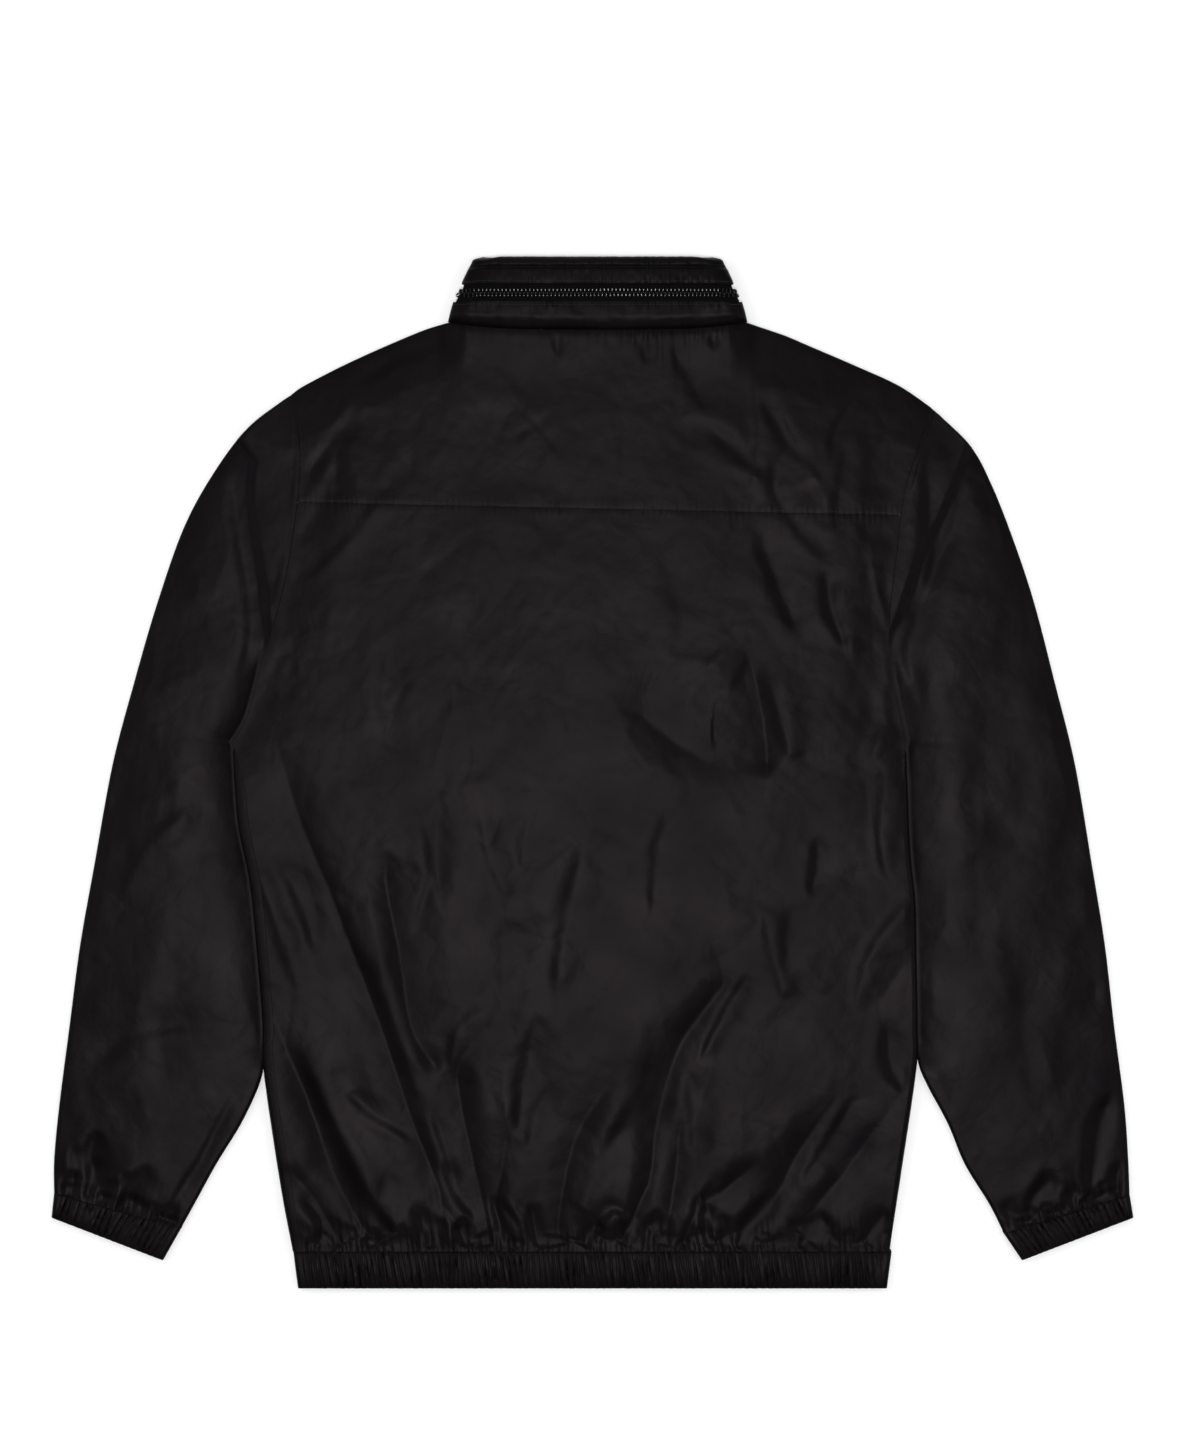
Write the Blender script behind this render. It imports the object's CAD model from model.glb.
"""Scene of a hooded jacket of thin black taffeta, laid flat on its front and seen from behind.

Sizes are in millimetres in the jacket's own frame, and turn into metres when a mesh is made.
+Z is up, +Y points from the hem to the collar, and -X is the wearer's left.
"""

import logging
import math
from collections.abc import Callable, Sequence
from dataclasses import dataclass, field
from enum import Enum
from typing import ClassVar

import bmesh
import bpy
import numpy as np
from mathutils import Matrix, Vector


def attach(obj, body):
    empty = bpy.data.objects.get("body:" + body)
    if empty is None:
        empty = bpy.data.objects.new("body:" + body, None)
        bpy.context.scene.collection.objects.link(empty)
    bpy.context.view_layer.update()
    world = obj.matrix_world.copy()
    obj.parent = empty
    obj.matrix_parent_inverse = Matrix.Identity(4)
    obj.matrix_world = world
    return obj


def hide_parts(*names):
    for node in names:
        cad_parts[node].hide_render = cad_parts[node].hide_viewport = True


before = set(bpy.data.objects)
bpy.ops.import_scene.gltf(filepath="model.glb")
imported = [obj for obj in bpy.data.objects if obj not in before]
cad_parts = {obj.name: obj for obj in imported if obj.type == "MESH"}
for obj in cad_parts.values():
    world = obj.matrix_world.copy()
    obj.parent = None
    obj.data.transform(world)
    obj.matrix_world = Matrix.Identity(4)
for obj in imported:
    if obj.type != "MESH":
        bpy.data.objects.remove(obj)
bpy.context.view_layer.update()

LOG = logging.getLogger("jacket")
Array = np.ndarray
Place = tuple[float, float]

MM = 0.001
SHIFT_Y = 0.25
BODY = "garment"

SEAM = 0.3
HEM_BOTTOM = -397.5
HEM_SEAM = -369.0
PIT = 23.0
NECK_SIDE = 347.0
WRAP_RAMP = 35.6
EDGE_ROUND = 3.2
SHOULDER_HEIGHT = 3.6
SHOULDER_REACH = 42.0
SHOULDER_CURVE = 0.8
TUCKED_INSET = 0.9
TURNED_SHARES = (1.0, 0.93, 0.80)
TURNED_INSETS = (0.5, 0.9, 0.9)
FRONT_X = 2.0
FRONT_OPENING = 5.0
COLLAR_X = 4.0


class Side(Enum):
    """A side of the jacket as it is worn, with its sign along X."""

    LEFT = -1
    RIGHT = 1

    @property
    def label(self) -> str:
        """The side's name in piece names."""
        return self.name.lower()


class Slot(Enum):
    """The material slots of the jacket's record."""

    TAFFETA = "taffeta"
    TAPE = "zip_tape"
    TEETH = "zip_teeth"
    METAL = "zip_metal"


def smooth(t: Array) -> Array:
    """A soft step from 0 to 1."""
    t = np.clip(t, 0.0, 1.0)
    return t * t * (3 - 2 * t)


def mix(a: Array, b: Array, t: Array) -> Array:
    """The value a share t of the way from a to b."""
    return a + (b - a) * t


def random_share(cell_x: Array, cell_y: Array, seed: float) -> Array:
    """A fixed number from 0 to 1 for each cell of a grid."""
    return np.modf(np.abs(np.sin(cell_x * 127.1 + cell_y * 311.7 + seed * 74.7) * 43758.5453))[0]


def spline(places: Sequence[Place], steps: int = 240) -> Array:
    """The smooth curve through some places.

    Args:
        places: The places, as x and y.
        steps: How many spans the curve has.

    Returns:
        The curve's points, one a row.
    """
    p = np.array(places, float)
    t = np.linspace(0, len(p) - 1, steps + 1)
    i = np.minimum(t.astype(int), len(p) - 2)
    w = (t - i)[:, None]
    before, a, b, after = p[np.maximum(i - 1, 0)], p[i], p[i + 1], p[np.minimum(i + 2, len(p) - 1)]
    out, back = (b - before) / 2, (after - a) / 2
    cubic = (2 * a - 2 * b + out + back) * w**3
    return cubic + (3 * b - 3 * a - 2 * out - back) * w**2 + out * w + a


def lengths_along(line: Array) -> Array:
    """The length of a line up to each of its points."""
    return np.concatenate([[0.0], np.cumsum(np.linalg.norm(np.diff(line, axis=0), axis=1))])


def at_share(line: Array, shares: Array) -> Array:
    """The points at some shares of a line's length."""
    lengths = lengths_along(line)
    wanted = np.asarray(shares) * lengths[-1]
    return np.stack([np.interp(wanted, lengths, line[:, k]) for k in range(line.shape[1])], axis=1)


def x_where(line: Array, y: Array) -> Array:
    """The x of a line that runs down the jacket, at some heights."""
    return np.interp(-np.asarray(y), -line[:, 1], line[:, 0])


def patch(top: Array, bottom: Array, left: Array, right: Array, across: Array, down: Array) -> Array:
    """A grid of places between four lines.

    Args:
        top: The first row.
        bottom: The last row.
        left: The first column.
        right: The last column.
        across: The share of the width at each column.
        down: The share of the length at each row.

    Returns:
        The grid, by row, column and axis.
    """
    u, v = across[None, :, None], down[:, None, None]
    lines = (1 - v) * top[None] + v * bottom[None] + (1 - u) * left[:, None] + u * right[:, None]
    corners = (1 - v) * ((1 - u) * top[0] + u * top[-1]) + v * ((1 - u) * bottom[0] + u * bottom[-1])
    return lines - corners


@dataclass(frozen=True)
class Waves:
    """Low waves of many directions and lengths, which roughen cloth."""

    seed: int
    shortest: float
    longest: float
    rise: float
    count: int = 36

    def at(self, x: Array, y: Array) -> Array:
        """The rise of the waves at some places."""
        rng = np.random.default_rng(self.seed)
        total = np.zeros_like(x)
        for _ in range(self.count):
            length = math.exp(rng.uniform(math.log(self.shortest), math.log(self.longest)))
            turn, phase = rng.uniform(0, 2 * math.pi, 2)
            along = x * math.cos(turn) + y * math.sin(turn)
            total += math.sqrt(length / self.longest) * np.cos(2 * math.pi * along / length + phase)
        return self.rise * total / math.sqrt(self.count / 2)


@dataclass(frozen=True)
class Crumples:
    """Short creases that meet in corners, as crushed taffeta keeps them here and there."""

    seed: float
    cell: float
    width: float
    rise: float

    def at(self, x: Array, y: Array) -> Array:
        """The rise of the creases at some places."""
        cell_x, cell_y = np.floor(x / self.cell), np.floor(y / self.cell)
        nearest, second = np.full(x.shape, 1e9), np.full(x.shape, 1e9)
        for step_x in (-1, 0, 1):
            for step_y in (-1, 0, 1):
                i, j = cell_x + step_x, cell_y + step_y
                middle_x = (i + random_share(i, j, self.seed)) * self.cell
                middle_y = (j + random_share(i, j, self.seed + 9)) * self.cell
                away = np.hypot(x - middle_x, y - middle_y)
                second = np.minimum(second, np.maximum(nearest, away))
                nearest = np.minimum(nearest, away)
        where = smooth(0.5 + 0.6 * Waves(int(self.seed) + 5, 60, 160, 1.0, 12).at(x, y))
        return self.rise * where * np.exp(-(second - nearest) / self.width)


@dataclass(frozen=True)
class Gathers:
    """Uneven gathers over elastic, with round ridges and narrow valleys."""

    seed: int
    pitch: float
    rise: float
    slant: float = 0.0
    fine: float = 0.0

    def at(self, along: Array, across: Array) -> Array:
        """The rise of the gathers.

        Args:
            along: Place along the band.
            across: Place across the band, from its seam.

        Returns:
            The rise at each place.
        """
        place = along + self.slant * across
        wander = Waves(self.seed, 3.2 * self.pitch, 11 * self.pitch, 0.24 * self.pitch, 10)
        phase = math.pi * (place + wander.at(place, 0.35 * across)) / self.pitch
        cell = np.floor(phase / math.pi + 0.5)
        share = 0.45 + 0.55 * random_share(cell, cell * 0, self.seed)
        step = 0.45 * (random_share(cell, cell * 0 + 3, self.seed) - 0.5)
        swell = Waves(self.seed + 1, 2.2 * self.pitch, 9 * self.pitch, 1.0, 12)
        depth = 0.85 + 0.4 * swell.at(place, 3 * across)
        full = depth * (np.abs(np.cos(phase)) ** 0.8 - 0.55) * share * 2 + step * np.abs(np.cos(phase))
        return self.rise * (full + self.fine * np.cos(4.7 * phase + 0.12 * across))


@dataclass(frozen=True)
class Fold:
    """One fold: a line down the cloth, with a ridge beside it where it is pushed over.

    A leaning fold has a broad face on one side and runs out slowly on the other; an even one runs out
    on both. How far it reaches is counted in widths.
    """

    rise: float
    width: float
    beside: float
    end: float
    lean: int
    line: tuple[Place, ...]
    reach: ClassVar[float] = 6.2
    face_reach: ClassVar[float] = 2.6
    slow_reach: ClassVar[float] = 6.0
    even_reaches: ClassVar[tuple[float, float]] = (1.8, 0.85)

    def add_to(self, height: Array, x: Array, y: Array) -> None:
        """Adds the fold to the heights at some places.

        Args:
            height: The heights, which are changed.
            x: The places' x.
            y: The places' y.
        """
        places = self.line if len(self.line) > 2 else (self.line[0], self.middle(), self.line[1])
        line = spline(places, 8 * (len(places) - 1))
        reach = self.reach * self.width
        low, high = line.min(0) - reach, line.max(0) + reach
        near = (x > low[0]) & (x < high[0]) & (y > low[1]) & (y < high[1])
        px, py = x[near], y[near]
        apart, sign, share = np.full(px.shape, 1e9), np.zeros(px.shape), np.zeros(px.shape)
        for k, (a, b) in enumerate(zip(line[:-1], line[1:])):
            way = b - a
            t = np.clip(((px - a[0]) * way[0] + (py - a[1]) * way[1]) / (way @ way), 0, 1)
            dx, dy = px - a[0] - t * way[0], py - a[1] - t * way[1]
            distance = np.hypot(dx, dy)
            closer = distance < apart
            apart = np.where(closer, distance, apart)
            sign = np.where(closer, np.sign(way[0] * dy - way[1] * dx), sign)
            share = np.where(closer, (k + t) / (len(line) - 1), share)
        taper = np.sin(math.pi * share**0.8).clip(0) ** 0.7
        width = self.width * (0.45 + 0.7 * taper + 0.1 * np.sin(9 * share + self.line[0][0]))
        along = smooth(share / 0.3) * smooth((1 - share) / max(self.end, 0.02) + 0.12)
        across = sign * apart / width * (self.lean or 1)
        if self.lean:
            face = np.clip(1 - across / self.face_reach, 0, 1) ** 1.7
            slow = np.clip(1 + across / self.slow_reach, 0, 1) ** 1.3
            core = np.where(across > 0, face, slow)
            ridge = 0.3 * np.exp(-(((across + 1.6) / 1.6) ** 2))
        else:
            core = np.exp(-((across / np.where(across > 0, *self.even_reaches)) ** 2))
            ridge = 0.5 * np.exp(-(((across + 1.7) / 1.2) ** 2))
        height[near] += along * (0.65 + 0.45 * taper) * (self.rise * core + self.beside * ridge)

    def middle(self) -> Place:
        """A place halfway along a two-point line, a little off it so that the fold isn't straight."""
        (ax, ay), (bx, by) = self.line
        return ((ax + bx) / 2 + 0.05 * (by - ay), (ay + by) / 2 - 0.05 * (bx - ax))


SOFT, HEM = 0.25, 0.02

ARMHOLE = {
    Side.LEFT: spline(((-232, 291), (-225, 248), (-228, 200), (-238, 141), (-251, 96), (-265, 44),
                       (-277, PIT))),
    Side.RIGHT: spline(((261, 281), (241, 219), (234, 168), (229, 124), (229, 86), (236, 44), (241, PIT))),
}
SIDE_SEAM = {
    Side.LEFT: spline(((-277, PIT), (-273, -37), (-264, -83), (-259, -129), (-254, -191), (-253, -229),
                       (-240, -318), (-231, HEM_SEAM))),
    Side.RIGHT: spline(((241, PIT), (244, -56), (248, -98), (249, -138), (250, -197), (249, -229),
                        (236, -318), (229, HEM_SEAM))),
}
SHOULDER = {
    Side.LEFT: spline(((-111, 346.4), (-129, 341), (-158, 329), (-191, 314), (-222, 298), (-232, 291))),
    Side.RIGHT: spline(((119, 346.4), (147, 337), (166, 329), (201, 314), (236, 298), (261, 281))),
}
SLEEVE_OUTER = {
    Side.LEFT: spline(((-232, 291), (-263, 268), (-288, 237), (-314, 191), (-336, 129), (-354, 67), (-370, 6),
                       (-384, -71), (-395, -133), (-403, -194), (-411, -256), (-415, -298), (-415, -324))),
    Side.RIGHT: spline(((261, 281), (291, 252), (308, 221), (326, 175), (341, 129), (357, 67), (372, 6),
                        (385, -71), (395, -133), (402, -194), (410, -256), (413, -298), (414, -325))),
}
SLEEVE_INNER = {
    Side.LEFT: spline(((-277, PIT), (-273, -37), (-264, -83), (-259, -129), (-254, -191), (-254, -221),
                       (-258, -241), (-272, -271), (-291, -302), (-308, -333), (-318, -351))),
    Side.RIGHT: spline(((241, PIT), (244, -56), (248, -98), (249, -138), (250, -197), (252, -223),
                        (259, -241), (275, -271), (288, -302), (307, -333), (318, -355))),
}
FOLD_EDGE = {
    Side.LEFT: np.array(((-310, 330), (-273, 256), (-261, 241), (-264, 211), (-261, 190), (-254, 143),
                         (-250, 108), (-250, 87)), float),
    Side.RIGHT: np.array(((320, 330), (289, 248), (275, 213), (266, 192), (251, 163), (238, 124),
                          (229, 103), (227, 90)), float),
}
CUFF_EDGE = {
    Side.LEFT: np.array(((-417, -343), (-331, -376)), float),
    Side.RIGHT: np.array(((417, -343), (331, -376)), float),
}
YOKE_SEAM = {Side.LEFT: 208.0, Side.RIGHT: 198.0}
WRAP = {Side.LEFT: 8.0, Side.RIGHT: 3.6}

# Folds of the back: rise, width, rise of the ridge beside it, how softly it ends, on which side its
# face is (0 for an even fold), line
BACK_FOLDS = tuple(Fold(*row) for row in (
    (-3.4, 8, 2.6, SOFT, 1, ((-251, 56), (-229, -25), (-195, -109), (-162, -198), (-139, -268),
                             (-117, -326), (-122, -355))),
    (1.3, 8, 0.0, SOFT, 0, ((-231, -10), (-190, -114), (-158, -174), (-132, -254))),
    (1.0, 6, -0.8, SOFT, 0, ((-263, -60), (-243, -112), (-225, -168))),
    (1.0, 6, -0.6, SOFT, 0, ((-240, -66), (-222, -104), (-212, -140))),
    (-2.6, 6, 1.2, 0.1, -1, ((-156, -58), (-159, -85), (-149, -139), (-139, -198), (-117, -231))),
    (-1.3, 9, 0.6, SOFT, 0, ((-3, -44), (-18, -113), (-28, -175))),
    (-3.8, 8, 2.4, HEM, -1, ((-263, -148), (-225, -238), (-216, -262), (-194, -321), (-167, -365))),
    (1.8, 7, -1.2, HEM, 0, ((-225, -205), (-204, -256), (-178, -310), (-150, -352))),
    (-2.6, 6, 1.4, HEM, -1, ((-240, -301), (-213, -330), (-194, -365))),
    (-1.0, 4, 0.5, SOFT, 0, ((-191, -245), (-165, -264), (-137, -283))),
    (-3.2, 7, 1.5, HEM, 1, ((-79, -191), (-102, -224), (-102, -250), (-93, -295), (-84, -335),
                            (-79, -365))),
    (0.9, 6, 0.0, SOFT, 0, ((-72, -176), (-102, -200), (-108, -236))),
    (-1.2, 5, 0.6, SOFT, 0, ((-125, -251), (-112, -291), (-103, -320))),
    (-1.4, 5, 0.8, SOFT, 0, ((-117, -299), (-105, -321), (-87, -347))),
    (-1.8, 4, 0.8, HEM, 0, ((-107, -349), (-100, -356), (-97, -365))),
    (-0.6, 6, 0.3, SOFT, 0, ((-156, -305), (-164, -357))),
    (-2.6, 6, 1.4, HEM, 1, ((-63, -263), (-72, -318), (-74, -338), (-60, -368))),
    (-1.4, 8, 0.7, SOFT, 0, ((-40, -181), (-52, -241), (-57, -282))),
    (-0.8, 6, 0.4, SOFT, 0, ((-29, -238), (-49, -290))),
    (-3.4, 8, 2.2, HEM, 1, ((23, -224), (-6, -268), (-17, -295), (-26, -344), (-23, -364))),
    (-2.2, 5, 1.2, HEM, 1, ((6, -344), (-7, -365))),
    (-1.5, 4, 0.6, HEM, 0, ((-3, -365), (6, -344), (16, -335), (27, -342))),
    (-1.5, 11, 0.8, SOFT, 0, ((54, -176), (43, -240), (32, -263), (7, -298))),
    (-3.6, 7, 2.4, HEM, -1, ((85, -118), (101, -158), (92, -175), (67, -211), (50, -268), (45, -309),
                             (39, -325), (21, -364))),
    (-1.0, 4, 0.5, SOFT, 0, ((122, -153), (104, -183), (82, -225))),
    (-2.6, 6, 1.4, HEM, -1, ((69, -254), (64, -309), (55, -365))),
    (-1.2, 7, 0.6, SOFT, 0, ((74, -222), (80, -268), (78, -295))),
    (-3.0, 6, 1.6, 0.1, -1, ((134, -295), (110, -314), (96, -325), (84, -330))),
    (-2.2, 4, 1.0, HEM, 0, ((87, -330), (87, -348), (89, -365))),
    (-3.8, 9, 2.6, HEM, -1, ((198, -236), (161, -289), (142, -325), (131, -341), (97, -361))),
    (-3.8, 9, 2.8, HEM, -1, ((238, -247), (197, -304), (186, -318), (156, -353))),
    (-1.0, 5, 0.5, SOFT, 0, ((205, -245), (182, -286), (161, -317))),
    (-1.4, 6, 0.9, SOFT, 0, ((229, -186), (229, -222), (241, -247))),
    (-2.2, 5, 1.2, HEM, -1, ((230, -337), (218, -348), (209, -362))),
    (-1.8, 5, 1.0, HEM, 0, ((142, -322), (120, -348), (112, -366))),
    (-1.5, 4, 0.6, HEM, 0, ((38, -360), (44, -348), (52, -354))),
    (-1.8, 4, 0.8, HEM, 0, ((180, -340), (168, -352), (160, -366))),
    (-1.8, 5, 0.9, HEM, 0, ((-140, -332), (-128, -350), (-126, -366))),
    (-1.6, 4, 0.8, HEM, 0, ((-48, -330), (-44, -350), (-40, -366))),
    (-3.0, 8, 1.8, SOFT, 1, ((117, 102), (128, 60), (134, 20), (134, -4))),
    (1.1, 7, 0.0, SOFT, 0, ((132, 90), (148, 32), (156, 9))),
    (-1.1, 5, 0.5, SOFT, 0, ((173, -48), (173, -72), (167, -96))),
    (-2.0, 9, -0.8, SOFT, -1, ((12, 50), (35, 45), (50, 33), (87, 9), (106, 13))),
    (0.6, 7, 0.0, SOFT, 0, ((15, 59), (37, 12), (50, 1), (77, -36))),
    (0.8, 10, -0.5, SOFT, 0, ((88, 90), (110, 66))),
    (1.1, 7, -0.7, SOFT, 0, ((216, 85), (225, 40), (219, 14), (227, -3), (223, -58), (236, -97))),
    (1.0, 6, -0.5, SOFT, 0, ((253, -92), (218, -135), (202, -184))),
    (0.7, 10, -0.3, SOFT, 0, ((161, -127), (181, -171))),
    (-0.6, 6, 0.4, SOFT, 0, ((156, -99), (150, -155))),
    (1.0, 7, -0.7, SOFT, 0, ((130, -100), (145, -152), (147, -174))),
    (-0.7, 5, 0.4, SOFT, 0, ((-133, -18), (-123, -72), (-137, -122))),
    (-0.6, 5, 0.4, SOFT, 0, ((-115, -18), (-115, -106))),
    (-0.6, 5, 0.3, SOFT, 0, ((-86, -26), (-64, -98))),
    (-0.5, 5, 0.3, SOFT, 0, ((-46, -33), (-54, -77))),
    (-0.6, 5, 0.3, SOFT, 0, ((60, -22), (50, -66), (46, -110))),
    (-0.6, 7, 0.3, SOFT, 0, ((-64, -112), (-64, -186))),
    (-0.7, 9, 0.3, SOFT, 0, ((-150, 120), (-158, 60), (-150, 4))),
    (-0.7, 10, 0.3, SOFT, 0, ((-70, 150), (-92, 90), (-84, 30))),
    (0.6, 12, -0.3, SOFT, 0, ((-20, 120), (-34, 70), (-30, 18))),
    (-0.6, 9, 0.3, SOFT, 0, ((56, 168), (70, 120), (64, 88))),
    (-0.9, 5, 0.3, SOFT, 0, ((-187, 298), (-165, 311), (-147, 321), (-117, 328))),
    (-0.8, 5, 0.4, SOFT, 0, ((-177, 284), (-201, 254), (-221, 226))),
    (-0.6, 6, 0.3, SOFT, 0, ((-198, 244), (-205, 212), (-230, 177))),
    (-0.4, 4, 0.2, SOFT, 0, ((-194, 255), (-196, 211))),
    (0.5, 5, 0.0, SOFT, 0, ((-154, 221), (-185, 178), (-224, 143))),
    (-0.4, 5, 0.2, SOFT, 0, ((-133, 244), (-165, 210))),
    (-0.2, 2, 0.1, SOFT, 0, ((-69, 291), (-44, 268), (-22, 241))),
    (-0.2, 2, 0.1, SOFT, 0, ((-27, 285), (-44, 268), (-70, 257))),
    (-0.6, 5, 0.3, SOFT, 0, ((59, 331), (75, 304), (89, 277))),
    (0.7, 5, -0.5, SOFT, 0, ((60, 268), (79, 275), (97, 270), (113, 258), (118, 248))),
    (-0.6, 5, 0.3, SOFT, 0, ((85, 268), (110, 248), (133, 227))),
    (0.5, 4, 0.0, SOFT, 0, ((67, 256), (103, 236), (139, 220))),
    (0.5, 5, -0.3, SOFT, 0, ((122, 318), (130, 264), (122, 212))),
    (-0.6, 5, 0.3, SOFT, 0, ((127, 294), (146, 261), (169, 234))),
    (0.5, 5, -0.3, SOFT, 0, ((135, 304), (163, 246), (182, 202))),
    (-0.6, 6, 0.4, SOFT, 0, ((157, 248), (143, 236), (140, 222), (146, 209), (160, 187), (174, 174),
                             (187, 170))),
    (0.4, 5, 0.0, SOFT, 0, ((152, 236), (146, 222), (152, 209), (169, 191), (197, 179))),
    (-0.4, 4, 0.3, SOFT, 0, ((152, 255), (174, 231), (174, 222), (148, 212))),
    (-0.8, 6, 0.4, SOFT, 0, ((197, 254), (193, 226), (187, 187))),
    (-0.8, 5, 0.4, SOFT, 0, ((228, 298), (211, 291), (197, 278), (187, 261), (183, 238))),
    (-0.9, 10, 0.4, SOFT, 0, ((214, 279), (216, 244), (214, 210))),
    (-0.6, 6, 0.4, SOFT, 0, ((210, 196), (238, 110))),
    (1.0, 5, 0.0, SOFT, 0, ((214, 183), (217, 157), (228, 110))),
    (-1.4, 7, 0.7, SOFT, 0, ((126, 191), (142, 148), (160, 104))),
    (-1.3, 6, 0.7, SOFT, 0, ((179, 160), (184, 128), (195, 97))),
    (0.7, 5, 0.0, SOFT, 0, ((187, 150), (203, 88))),
    (-0.6, 3, 0.3, 0.1, 0, ((-27, 338), (-27, 322))),
    (-0.8, 3, 0.4, 0.1, 0, ((91, 338), (95, 326))),
    (-0.6, 4, 0.3, SOFT, 0, ((37, 337), (44, 314))),
))

SLEEVE_FOLDS = {
    Side.LEFT: tuple(Fold(*row) for row in (
        (-1.4, 7, 0.0, SOFT, 0, ((-275, 246), (-274, 211), (-271, 180), (-264, 143), (-262, 108),
                                 (-272, 70))),
        (-0.7, 14, 0.3, SOFT, 0, ((-300, 60), (-300, -60), (-292, -160))),
        (1.0, 8, 0.0, SOFT, 0, ((-300, -26), (-322, -42), (-345, -66), (-362, -100))),
        (-0.9, 7, 0.3, SOFT, 0, ((-396, -240), (-361, -204), (-319, -194), (-268, -196))),
        (0.6, 14, -0.5, SOFT, 0, ((-330, 120), (-346, 20), (-350, -80))),
        (-0.6, 9, 0.3, SOFT, 0, ((-312, -100), (-330, -180), (-332, -250))),
        (-1.4, 5, 0.7, HEM, 0, ((-399, -285), (-398, -298), (-391, -319), (-390, -328))),
        (-1.6, 5, 0.8, HEM, 0, ((-380, -275), (-386, -287), (-386, -308), (-388, -328))),
        (-1.4, 5, 0.7, HEM, 0, ((-385, -296), (-380, -315), (-375, -332))),
        (-1.5, 5, 0.9, HEM, 0, ((-341, -300), (-355, -322), (-365, -337))),
        (-1.3, 4, 0.6, HEM, 0, ((-337, -340), (-325, -346))),
        (-0.7, 3, 0.3, SOFT, 0, ((-269, -237), (-287, -269), (-303, -300), (-319, -325), (-328, -346))),
        (-1.1, 4, 0.6, HEM, 0, ((-360, -306), (-357, -336))),
    )),
    Side.RIGHT: tuple(Fold(*row) for row in (
        (-1.3, 7, 0.0, SOFT, 0, ((291, 236), (280, 190), (266, 158), (252, 118), (244, 88), (256, 50))),
        (-1.2, 6, 0.8, SOFT, 0, ((257, 252), (260, 194), (252, 150), (241, 117))),
        (-0.7, 5, 0.4, SOFT, 0, ((288, 226), (258, 140))),
        (-0.7, 14, 0.3, SOFT, 0, ((306, 60), (300, -60), (294, -160))),
        (0.6, 14, -0.5, SOFT, 0, ((326, 120), (346, 20), (352, -80))),
        (-0.6, 9, 0.3, SOFT, 0, ((316, -100), (332, -180), (338, -250))),
        (-1.5, 5, 0.8, HEM, 0, ((358, -308), (349, -316), (339, -328), (336, -341))),
        (-1.6, 5, 0.8, HEM, 0, ((404, -247), (392, -262), (386, -288), (382, -329))),
        (-1.4, 5, 0.7, HEM, 0, ((313, -332), (326, -343), (338, -351))),
        (-1.4, 5, 0.7, HEM, 0, ((412, -298), (404, -313), (402, -326))),
        (-1.2, 4, 0.6, HEM, 0, ((347, -331), (352, -343))),
        (-1.1, 4, 0.6, HEM, 0, ((368, -318), (369, -338))),
    )),
}


def yoke_seam_y(x: Array) -> Array:
    """The yoke seam's y at some x."""
    start, width = -228, 462
    return mix(YOKE_SEAM[Side.LEFT], YOKE_SEAM[Side.RIGHT], (x - start) / width)


def short_creases(seed: int, start: Place, end: Place, count: int, longest: float) -> tuple[Fold, ...]:
    """Short creases that run up from a gathered seam, uneven in length, depth, spacing and slant.

    Args:
        seed: What sets their unevenness.
        start: One end of the seam.
        end: The other end, with the cloth on the left of the way to it.
        count: How many creases there are.
        longest: The length of the longest ones.

    Returns:
        The creases.
    """
    rng = np.random.default_rng(seed)
    a, b = np.array(start, float), np.array(end, float)
    ahead = (b - a) / np.linalg.norm(b - a)
    up = np.array((-ahead[1], ahead[0]))
    creases = []
    for k in range(count):
        foot = mix(a, b, (k + rng.uniform(0.1, 0.9)) / count)
        length = longest * (0.22 + 0.78 * rng.uniform() ** 2)
        slant, bow = rng.normal(0, 0.32), rng.normal(0, 0.1)
        top = foot + length * (up + slant * ahead)
        middle = foot + length * (0.5 * up + (0.3 * slant + bow) * ahead)
        line = (tuple(top), tuple(middle), tuple(foot - up))
        rise, width = -rng.uniform(0.8, 2.0), rng.uniform(1.7, 3.6)
        creases.append(Fold(rise, width, 0.8, HEM, int(rng.choice((-1, 1))), line))
    return tuple(creases)


def fold_heights(folds: Sequence[Fold], x: Array, y: Array) -> Array:
    """The rise of several folds at some places."""
    height = np.zeros_like(x)
    for fold in folds:
        fold.add_to(height, x, y)
    return height


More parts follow.
